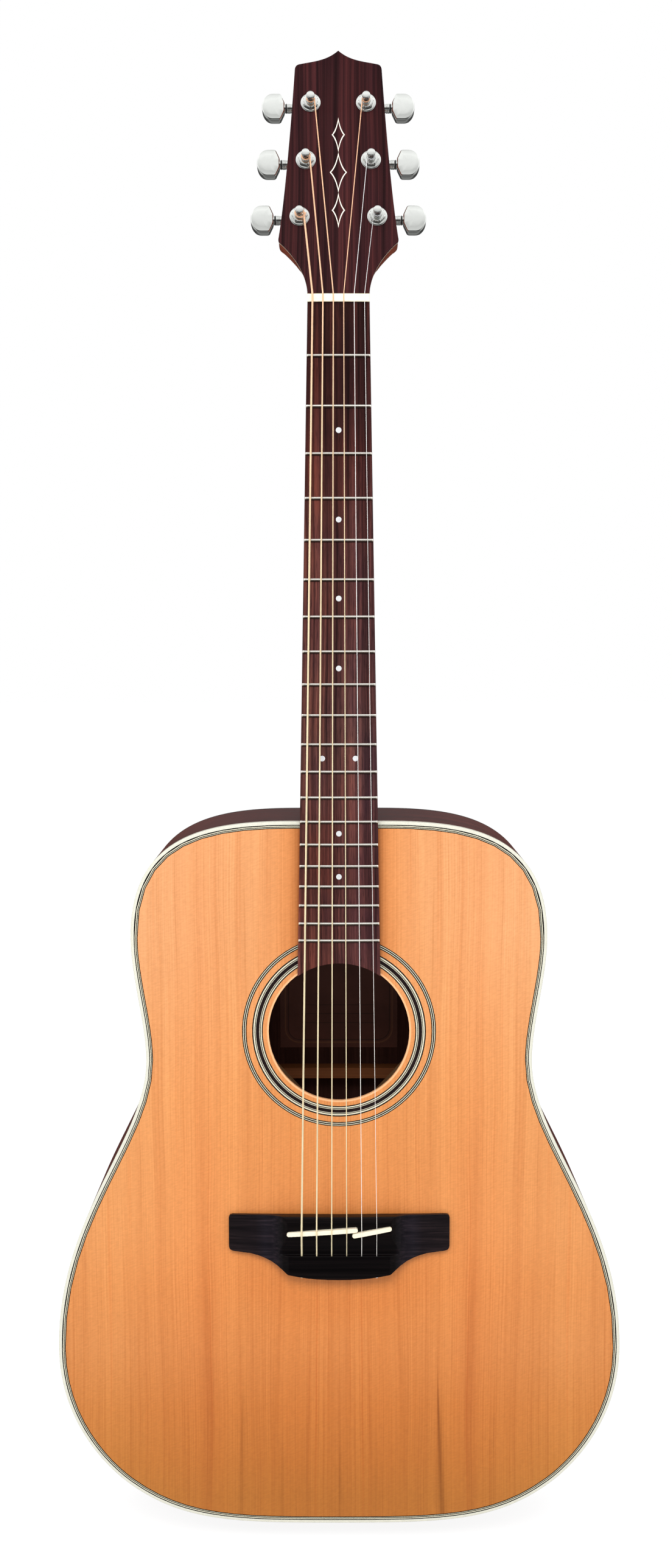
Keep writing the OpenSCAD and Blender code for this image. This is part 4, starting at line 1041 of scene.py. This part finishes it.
def board():
    across = np.array([-1, -0.996, -0.985] + list(np.linspace(-0.96, 0.96, 27))
                      + [0.985, 0.996, 1])
    edge_round = 0.45
    steps = 70
    rings = []
    for j in range(steps + 1):
        x = np.zeros(len(across))
        for _ in range(12):  # the lower end follows the soundhole, so z and x depend on each other
            end_z = HOLE_Z + np.sqrt(np.maximum(0.0, HOLE_R ** 2 - x * x))
            z = end_z + (NUT_Z - end_z) * j / steps
            x = across * board_half(z)
        edge = (1 - np.abs(across)) * board_half(z)
        drop = edge_round * np.maximum(0.0, 1 - edge / edge_round) ** 2
        top = np.stack([x, board_top(x) + drop, z], 1)
        bottom = np.stack([x, np.full(len(x), -GAP), z], 1)
        rings.append(np.vstack([top, bottom[::-1]]))
    points, faces = loft(rings, "open")
    n = len(across)
    for base in (0, steps * 2 * n):  # ends closed strip by strip, since the lower one is curved
        for k in range(n - 1):
            faces.append((base + k, base + k + 1, base + 2 * n - 2 - k, base + 2 * n - 1 - k))
    return make("fretboard_wood", (points, faces), ROSEWOOD_BOARD, slot="rosewood_board",
                node="fretboard", angle=40)


def discs(profile):
    """One turned disc per dot, its axis along the board's own normal there."""
    solids = []
    for fret, x in DOTS:
        z = (fret_z(fret) + fret_z(fret - 1)) / 2
        a = math.asin(x / BOARD_RADIUS)
        top_y = -BOARD_THICK + BOARD_RADIUS * (1 - math.cos(a))
        v, faces = lathe(profile, 40)
        placed = np.stack([v[:, 0] * math.cos(a) + v[:, 2] * math.sin(a) + x,
                           v[:, 0] * math.sin(a) - v[:, 2] * math.cos(a) + top_y,
                           v[:, 1] + z], 1)
        solids.append((placed, faces))
    return join(solids)


def fretboard():
    ob = board()
    cutter = make("pocket_cutter", discs(POCKET_PROFILE), ROSEWOOD_BOARD, smooth=False)
    modifier = ob.modifiers.new("pockets", "BOOLEAN")
    modifier.operation = "DIFFERENCE"
    modifier.solver = "EXACT"
    modifier.object = cutter
    mesh = evaluated_mesh(ob)
    ob.modifiers.remove(modifier)
    ob.data = mesh
    shade(mesh, 40)
    bpy.data.objects.remove(cutter)
    make("fret_dots", discs(PEARL_PROFILE), PEARL, slot="pearl_dot", node="fret_markers", angle=30)


def frets():
    """Rounded crowns with bevelled ends."""
    crown_height, crown_half, foot = 1.08, 1.2, 0.25
    a = np.linspace(0, math.pi, 11)
    solids = []
    for fret in range(1, 21):
        z = fret_z(fret)
        half = board_half(z) - 0.1
        ends = [half - inset for inset in (1.1, 0.6, 0.25, 0)]
        xs = ([-x for x in reversed(ends)] + list(np.linspace(-half + 2.5, half - 2.5, 15)) + ends)
        rings = []
        for x in xs:
            edge = half - abs(x)
            rise = crown_height * min(1.0, 0.25 + 0.95 * edge / 1.1)
            w = crown_half * (0.72 + 0.28 * min(1.0, edge / 0.6))
            y = board_top(x)
            arc = np.stack([np.full(11, x), y - rise * np.sin(a) ** 0.85, z + w * np.cos(a)], 1)
            rings.append(np.vstack([arc, [(x, y + foot, z - w), (x, y + foot, z + w)]]))
        solids.append(loft(rings))
    make("fret_crowns", join(solids), FRET_SILVER, slot="fret_silver", node="frets", angle=50)


fretboard()
frets()

# ---------------------------------------------------------------- nut, saddles, bridge
remeshed("nut_bone", "nut", BONE, voxel=0.22, pairs=2, relax=3, slot="bone")
for saddle in ("saddle_bass", "saddle_treble"):
    remeshed(saddle + "_bone", saddle, BONE, voxel=0.20, pairs=2, relax=6, slot="bone")
remeshed("bridge_carved", "bridge", EBONY, voxel=0.34, pairs=1, relax=1, slot="ebony_bridge",
         weights=lambda points: np.clip((-points[:, 1] - 0.6) / 1.2, 0, 1))

# ---------------------------------------------------------------- strings
# ends (x, z) of the two saddles' top lines
BASS_SADDLE = ((-37.4, 218.5), (13.3, 222.2))
TREBLE_SADDLE = ((9.3, 217.8), (37.5, 222.8))
SADDLE_TOP_Y, NUT_TOP_Y = -11.9, -7.45
BALL_PROFILE = [(0, -1.3), (1.0, -1.2), (1.5, -0.5), (1.5, 0.5), (1.0, 1.2), (0, 1.3)]


def spread_x(spread, i):
    return -spread / 2 + spread * i / 5


def post_side(i):
    return -1 if POSTS[i][0] < 0 else 1


def string(i):
    """One string from its ball end over the saddle and nut to its post."""
    r = STRING_R[i]
    saddle_x, nut_x = spread_x(SADDLE_SPREAD, i), spread_x(NUT_SPREAD, i)
    (x0, z0), (x1, z1) = BASS_SADDLE if i < WOUND_COUNT else TREBLE_SADDLE
    saddle_z = z0 + (saddle_x - x0) * (z1 - z0) / (x1 - x0)
    saddle_y = SADDLE_TOP_Y + saddle_x * saddle_x / (2 * BOARD_RADIUS) - r - 0.03
    nut_y = NUT_TOP_Y - r
    post_x, post_z = POSTS[i]
    end = from_head(post_x - post_side(i) * (POST_WAIST + r + 0.12), WIND_Y, post_z)
    path = bend_path([
        (saddle_x, -5.6, 187.5), (saddle_x, -7.8, 203.2),
        (saddle_x, saddle_y, saddle_z - 1.6), (saddle_x, saddle_y, saddle_z + 1.6),
        (nut_x, nut_y, NUT_Z + 0.2), (nut_x, nut_y, HEAD_Z - 0.2), end], radius=2.2)
    ball, ball_faces = lathe(BALL_PROFILE, 20)
    return [tube(path, r, 16), (ball + np.array([saddle_x, -5.2, 186.8]), ball_faces)]


for kind, indices, string_material, slot_name in (
        ("wound", range(WOUND_COUNT), BRONZE_WRAP, "bronze_wrap"),
        ("plain", range(WOUND_COUNT, 6), PLAIN_STEEL, "plain_steel")):
    make(f"strings_{kind}_set", join([solid for i in indices for solid in string(i)]),
         string_material, slot=slot_name, node=f"strings_{kind}", angle=60)


# ---------------------------------------------------------------- tuning machines
def at_post(i, solid):
    """A solid whose +Z is the post axis, pointing out of the headstock's back."""
    v, faces = solid
    x, z = POSTS[i]
    return from_head(v[:, 0] + x, v[:, 2], -v[:, 1] + z), faces


def on_shaft(i, solid, start=0.0):
    """A solid whose +Z runs outward along the button shaft, its zero start mm from the post."""
    v, faces = solid
    x, z = POSTS[i]
    return from_head(post_side(i) * (v[:, 2] + start) + x, SHAFT_Y + v[:, 0],
                     SHAFT_RISE + v[:, 1] + z), faces


def hex_bush(turn):
    """Threaded bush with a chamfered hexagonal head, bored through."""
    n = 96
    a = np.arange(n) * 2 * math.pi / n
    hexagon = 5.0 / np.cos(((a - turn) % (math.pi / 3)) - math.pi / 6)
    barrel_end = HEAD_BACK - 2.5 - HEAD_FRONT
    # head: (height from the facing, radius the hexagon is trimmed to)
    head = [(-1.06, 5.55), (-1.3, 5.95), (-2.4, 5.95), (-3.0, 5.5), (-3.4, 4.95), (-3.48, 4.6)]
    # bore and barrel: (height from the facing, radius)
    barrel = [(-3.48, 3.45), (-3.3, 3.12), (-3.0, 3.07), (barrel_end, 3.07), (barrel_end, 4.3),
              (-1.04, 4.3)]
    levels = []
    for height, radius in ([(h, np.minimum(hexagon, trim)) for h, trim in head]
                           + [(h, np.full(n, r)) for h, r in barrel]):
        levels.append(np.stack([radius * np.cos(a), radius * np.sin(a),
                                np.full(n, HEAD_FRONT + height)], 1))
    return loft(list(np.stack(levels, 1)), "joined")


def rounded_box(i, half_width, depth, z0, z1, radius):
    """Box on the headstock's back at a post, its upright edges and back rim rounded."""
    post_x, post_z = POSTS[i]
    corner = np.linspace(0, math.pi / 2, 6)
    rim_round = 1.6
    y0, y1 = HOUSING_FRONT, HOUSING_FRONT + depth

    def rectangle(inset, y):
        r = radius - inset * 0.5
        x = half_width - inset - r
        low, high = z0 + inset + r, z1 - inset - r
        points = []
        for k, (cx, cz) in enumerate(((x, high), (-x, high), (-x, low), (x, low))):
            a = k * math.pi / 2 + corner
            points.append(np.stack([cx + r * np.cos(a), np.full(6, y), cz + r * np.sin(a)], 1))
        return np.vstack(points)

    rings = [rectangle(0.25, y0), rectangle(0.0, y0 + 0.25), rectangle(0.0, y1 - rim_round)]
    for a in np.linspace(0, math.pi / 2, 7)[1:]:
        rings.append(rectangle(rim_round * (1 - math.cos(a)), y1 - rim_round * (1 - math.sin(a))))
    rings.append(rectangle(4.0, y1))
    v, faces = loft(rings)
    return from_head(v[:, 0] + post_x, v[:, 1], v[:, 2] + post_z), faces


# (radius, depth in the headstock frame)
WASHER_PROFILE = [
    (4.45, HEAD_FRONT - GAP), (6.95, HEAD_FRONT - GAP), (7.1, HEAD_FRONT - 0.2),
    (7.05, HEAD_FRONT - 0.5), (6.75, HEAD_FRONT - 0.82), (6.2, HEAD_FRONT - 0.98),
    (4.45, HEAD_FRONT - 1.0),
]
SLEEVE_END = BUTTON_REACH - 1.4
# (radius, distance from the post axis)
SLEEVE_PROFILE = [
    (2.2, 6.0), (3.7, 6.0), (3.7, 9.2), (3.35, 9.6), (3.05, 9.8), (3.05, SLEEVE_END - 2.7),
    (3.3, SLEEVE_END - 2.55), (3.3, SLEEVE_END - 1.75), (3.16, SLEEVE_END - 1.65),
    (3.16, SLEEVE_END - 1.5), (3.3, SLEEVE_END - 1.4), (3.3, SLEEVE_END - 0.5),
    (3.1, SLEEVE_END - 0.2), (2.8, SLEEVE_END), (1.97, SLEEVE_END), (1.97, 7),
]
# button outline, clockwise: (outward, up the headstock, corner easing)
BUTTON_CORNERS = np.array([
    (0, -3.3, 1.0), (0, 3.3, 1.0), (2.9, 9.9, 1.5), (10.9, 9.95, 2.6), (14.2, 7.0, 2.1),
    (15.8, 3.2, 1.6), (16.1, 0, 1.6), (15.8, -3.2, 1.6), (14.2, -7.0, 2.1), (10.9, -9.95, 2.6),
    (2.9, -9.9, 1.5),
])
BUTTON_OUTLINE = round_polygon(BUTTON_CORNERS[:, :2], BUTTON_CORNERS[:, 2])
BUTTON_CENTRE = np.array([8.2, 0.0])
# front half of the button's sections, from its edge: (inset, scale about the centre, half depth)
BUTTON_SECTIONS = [(0.0, 1, 2.5), (0.13, 1, 2.95), (0.5, 1, 3.3), (0.9, 1, 3.42),
                   (0.9, 0.6, 3.62), (0.9, 0.25, 3.7)]
# (radius, distance along the shaft)
COLLAR_PROFILE = [(1.94, 0.0), (2.9, 0.0), (3.15, 0.25), (3.15, 1.2), (3.4, 2.2), (3.4, 3.0),
                  (1.94, 3.0)]
NYLON_PROFILE = [(1.95, -1.35), (3.2, -1.35), (3.42, -1.2), (3.42, -0.95), (3.2, -0.78),
                 (1.95, -0.78)]
# (radius, depth in the headstock frame), back to front
POST_PROFILE = [
    (0, HOUSING_FRONT + 8.5), (1.9, HOUSING_FRONT + 8.5), (2.0, HOUSING_FRONT + 8.3),
    (2.0, HOUSING_FRONT + 3.0), (2.98, HOUSING_FRONT + 2.9), (3.0, -4.6), (2.85, -4.85),
    (2.4, -5.1), (POST_WAIST, -5.25), (POST_WAIST, -8.4), (2.4, -8.7), (2.74, -8.95),
    (2.85, -9.2), (2.85, -11.1), (2.74, -11.38), (2.45, -11.58), (1.7, -11.68), (0, -11.72),
]


def fixed_tuner_parts():
    make("tuner_bush_set", join([at_post(i, hex_bush(0.26 * i)) for i in range(6)]), CHROME,
         slot="chrome", node="tuner_bushings", angle=25)
    make("tuner_washer_set", join([at_post(i, lathe_ring(WASHER_PROFILE, 64)) for i in range(6)]),
         CHROME, slot="chrome", node="tuner_washers", angle=40)
    housings = []
    for i in range(6):
        housings += [
            rounded_box(i, half_width=8.6, depth=9.6, z0=-7.4, z1=11.0, radius=2.6),
            rounded_box(i, half_width=4.2, depth=2.0, z0=-15.6, z1=-6.6, radius=2.4),
            on_shaft(i, lathe(SLEEVE_PROFILE, 40))]
    make("tuner_housing_set", join(housings), CHROME, slot="chrome", node="tuner_housings",
         angle=40)


def button():
    """The cast button as a solid with +Z outward along the shaft."""
    tangents = np.roll(BUTTON_OUTLINE, -1, 0) - np.roll(BUTTON_OUTLINE, 1, 0)
    tangents /= np.linalg.norm(tangents, axis=1)[:, None]
    outward = np.stack([-tangents[:, 1], tangents[:, 0]], 1)
    sections = [(inset, scale, -depth) for inset, scale, depth in reversed(BUTTON_SECTIONS)]
    rings = []
    for inset, scale, depth in sections + BUTTON_SECTIONS:
        q = BUTTON_CENTRE + (BUTTON_OUTLINE - inset * outward - BUTTON_CENTRE) * scale
        rings.append(np.stack([np.full(len(q), depth), q[:, 1], q[:, 0]], 1))
    return loft(rings)


def coils(i):
    """String wound down to the collar, then back and forth in further layers."""
    r = STRING_R[i]
    turns = COIL_TURNS[i]
    pitch = 2 * r + 0.05
    side = post_side(i)
    angle = np.linspace(0, 2 * math.pi * turns, int(26 * turns))
    top_y, collar_y = -8.35 + r, -5.4 - r
    start_y = WIND_Y + (2 * r + 0.03 if i >= WOUND_COUNT else 0.0)
    run = angle / (2 * math.pi) * pitch
    first, layer_depth = collar_y - start_y, collar_y - top_y
    rest = np.maximum(0, run - first)
    index = np.floor(rest / layer_depth)
    into = rest - index * layer_depth
    y = np.where(run <= first, start_y + run,
                 np.where(index % 2 == 0, collar_y - into, top_y + into))
    layer = np.where(run <= first, 0.0, index + np.clip(into / (0.25 * pitch), 0, 1))
    radius = POST_WAIST + r + 0.02 + layer * 1.75 * r
    around = (math.pi if side > 0 else 0.0) - side * angle
    post_x, post_z = POSTS[i]
    path = from_head(radius * np.cos(around) + post_x, y, radius * np.sin(around) + post_z)
    return tube(path, r, 10)


def moving_tuner_parts(i):
    name, knob, post = f"tuner_{i + 1}", f"knob_{i + 1}", f"post_{i + 1}"
    cast = join([on_shaft(i, button(), BUTTON_REACH),
                 on_shaft(i, lathe(COLLAR_PROFILE, 36), BUTTON_REACH - 0.75)])
    make(name + "_button_cast", cast, CHROME, body=knob, slot="chrome", node=name + "_button",
         angle=28)
    make(name + "_washer", on_shaft(i, lathe_ring(NYLON_PROFILE, 40), BUTTON_REACH), NYLON,
         body=knob, slot="black_plastic")
    make(name + "_post_turned", at_post(i, lathe(POST_PROFILE, 56)), CHROME, body=post,
         slot="chrome", node=name + "_post", angle=40)
    wound = i < WOUND_COUNT
    make(name + "_coils", coils(i), BRONZE_WRAP if wound else PLAIN_STEEL, body=post,
         slot="bronze_wrap" if wound else "plain_steel", angle=60)


fixed_tuner_parts()
for i in range(6):
    moving_tuner_parts(i)

# ---------------------------------------------------------------- end pin
# (radius, z)
PIN_PROFILE = [
    (0, 22), (3.6, 21.8), (3.9, 21.2), (4.2, 19.5), (4.2, -0.1), (5.9, -0.1), (6.2, -0.4),
    (6.2, -1.3), (5.9, -1.8), (5.0, -2.7), (4.62, -3.8), (4.62, -4.8), (5.0, -6.2), (5.7, -7.1),
    (6.7, -7.4), (7.0, -7.7), (7.0, -11.6), (6.75, -12.3), (6.0, -13.0), (4.4, -13.5),
    (2.0, -13.75), (0, -13.8),
]
pin_points, pin_faces = lathe(PIN_PROFILE, 64)
make("end_pin_turned", (pin_points + np.array([0, PIN_Y, 0]), pin_faces), BLACK_PLASTIC,
     slot="black_plastic", node="end_pin", angle=45)


# ---------------------------------------------------------------- camera, lights (metres)
def add_camera():
    camera = bpy.data.cameras.new("camera")
    camera.sensor_width = 36
    camera.lens = 40.84
    camera.clip_start = 0.01
    ob = link("camera", camera)
    ob.location = (-0.0020, -1.243475, 0.6475)
    pitch = Matrix.Rotation(math.radians(85.053), 3, "X")
    roll = Matrix.Rotation(math.radians(-0.05), 3, "Z")
    ob.rotation_euler = (pitch @ roll).to_euler()
    bpy.context.scene.camera = ob


def area_light(name, location, target, size, power, color=(1, 1, 1)):
    """Rectangular light aimed at target, unseen in reflections."""
    light = bpy.data.lights.new(name, "AREA")
    light.shape = "RECTANGLE"
    light.size, light.size_y = size
    light.energy = power
    light.color = color
    ob = link(name, light)
    ob.location = location
    ob.rotation_euler = (Vector(target) - Vector(location)).to_track_quat("-Z", "Y").to_euler()
    ob.visible_glossy = False
    return ob


add_camera()
area_light("key", location=(-0.25, -1.75, 2.05), target=(0, 0, 0.50), size=(1.9, 1.2), power=52,
           color=(1.0, 0.99, 0.97))
area_light("fill_left", location=(-2.2, -1.0, 0.9), target=(0, 0, 0.5), size=(0.9, 1.8), power=8)
area_light("fill_right", location=(2.2, -1.2, 1.0), target=(0, 0, 0.5), size=(0.9, 1.8), power=9)
area_light("rim", location=(0.6, 1.8, 2.0), target=(0, 0.05, 0.6), size=(1.6, 1.0), power=20)
glow = area_light("soundbox_glow", location=(0, 0.020, 0.33), target=(0, 0.12, 0.33),
                  size=(0.16, 0.24), power=0.042, color=(1.0, 0.66, 0.52))
glow.visible_camera = False

# ---------------------------------------------------------------- world
# brightness by the direction's z, and by its sideways share, as shiny faces see it:
# a big softbox high up, a dark room at the camera's level and below
ROOM_BY_Z = [
    (-1.0, 0.20), (-0.8, 0.10), (-0.62, 0.20), (-0.45, 0.08), (-0.2, 0.035), (0.10, 0.045),
    (0.24, 0.15), (0.35, 0.60), (0.56, 0.52), (0.66, 0.74), (0.76, 0.90), (0.92, 0.74),
    (1.0, 0.60),
]
ROOM_BY_SIDE = [(0.0, 0.0), (0.55, 0.0), (0.72, 0.30), (0.9, 0.42), (1.0, 0.30)]
# brightness by z for diffuse light
AMBIENT_BY_Z = [(-1.0, 0.34), (-0.3, 0.22), (0.0, 0.20), (0.35, 0.42), (1.0, 0.62)]


def studio_world():
    world = bpy.data.worlds.new("studio")
    bpy.context.scene.world = world
    world.use_nodes = True
    w = Nodes(world.node_tree)

    def levels(value, stops):
        return w.along(value, [(position, grey(level)) for position, level in stops])

    def background(color, strength):
        return w.node("Background", {0: color, 1: strength}).outputs[0]

    def switch(ray, otherwise, chosen):
        return w.node("MixShader", {0: rays[ray], 1: otherwise, 2: chosen}).outputs[0]

    output = w.node("OutputWorld")
    rays = w.node("LightPath").outputs
    x, _, z = w.split(w.node("TexCoord").outputs["Generated"])
    above = levels(z, ROOM_BY_Z)
    beside = levels(w.node("Math", {0: x}, operation="ABSOLUTE").outputs[0], ROOM_BY_SIDE)
    room = background(w.mix(1.0, above, beside, "ADD"), 1.2)
    ambient = background(levels(z, AMBIENT_BY_Z), 1.0)
    white = background((1, 1, 1, 1), 1.0)
    lighting = switch("Is Glossy Ray", ambient, room)
    w.put(output.inputs[0], switch("Is Camera Ray", lighting, white))


studio_world()


# ---------------------------------------------------------------- floor
def studio_floor():
    """Pale floor just below the end pin."""
    m = Material("studio_floor")
    cloud = m.field(grey(0.003), detail=2.0)
    c = m.ramp(m.remap(cloud, (0.3, 0.7)), [(0, grey(0.93)), (1, grey(0.96))])
    material = m.finish(
        Base_Color=m.multiply(1.0, c, grey(0.22)), Roughness=0.7,
        Emission_Color=(1, 1, 1, 1), Emission_Strength=0.90, Specular_IOR_Level=0.1)
    bpy.ops.mesh.primitive_plane_add(size=30, location=(0, 0, -0.016))
    floor = bpy.context.object
    floor.name = "floor"
    floor.data.materials.append(material)
    floor.visible_glossy = False


studio_floor()

view = bpy.context.scene.view_settings
view.view_transform = "Standard"
view.look = "None"
view.exposure = 0.0
view.gamma = 1.0

bpy.context.view_layer.update()
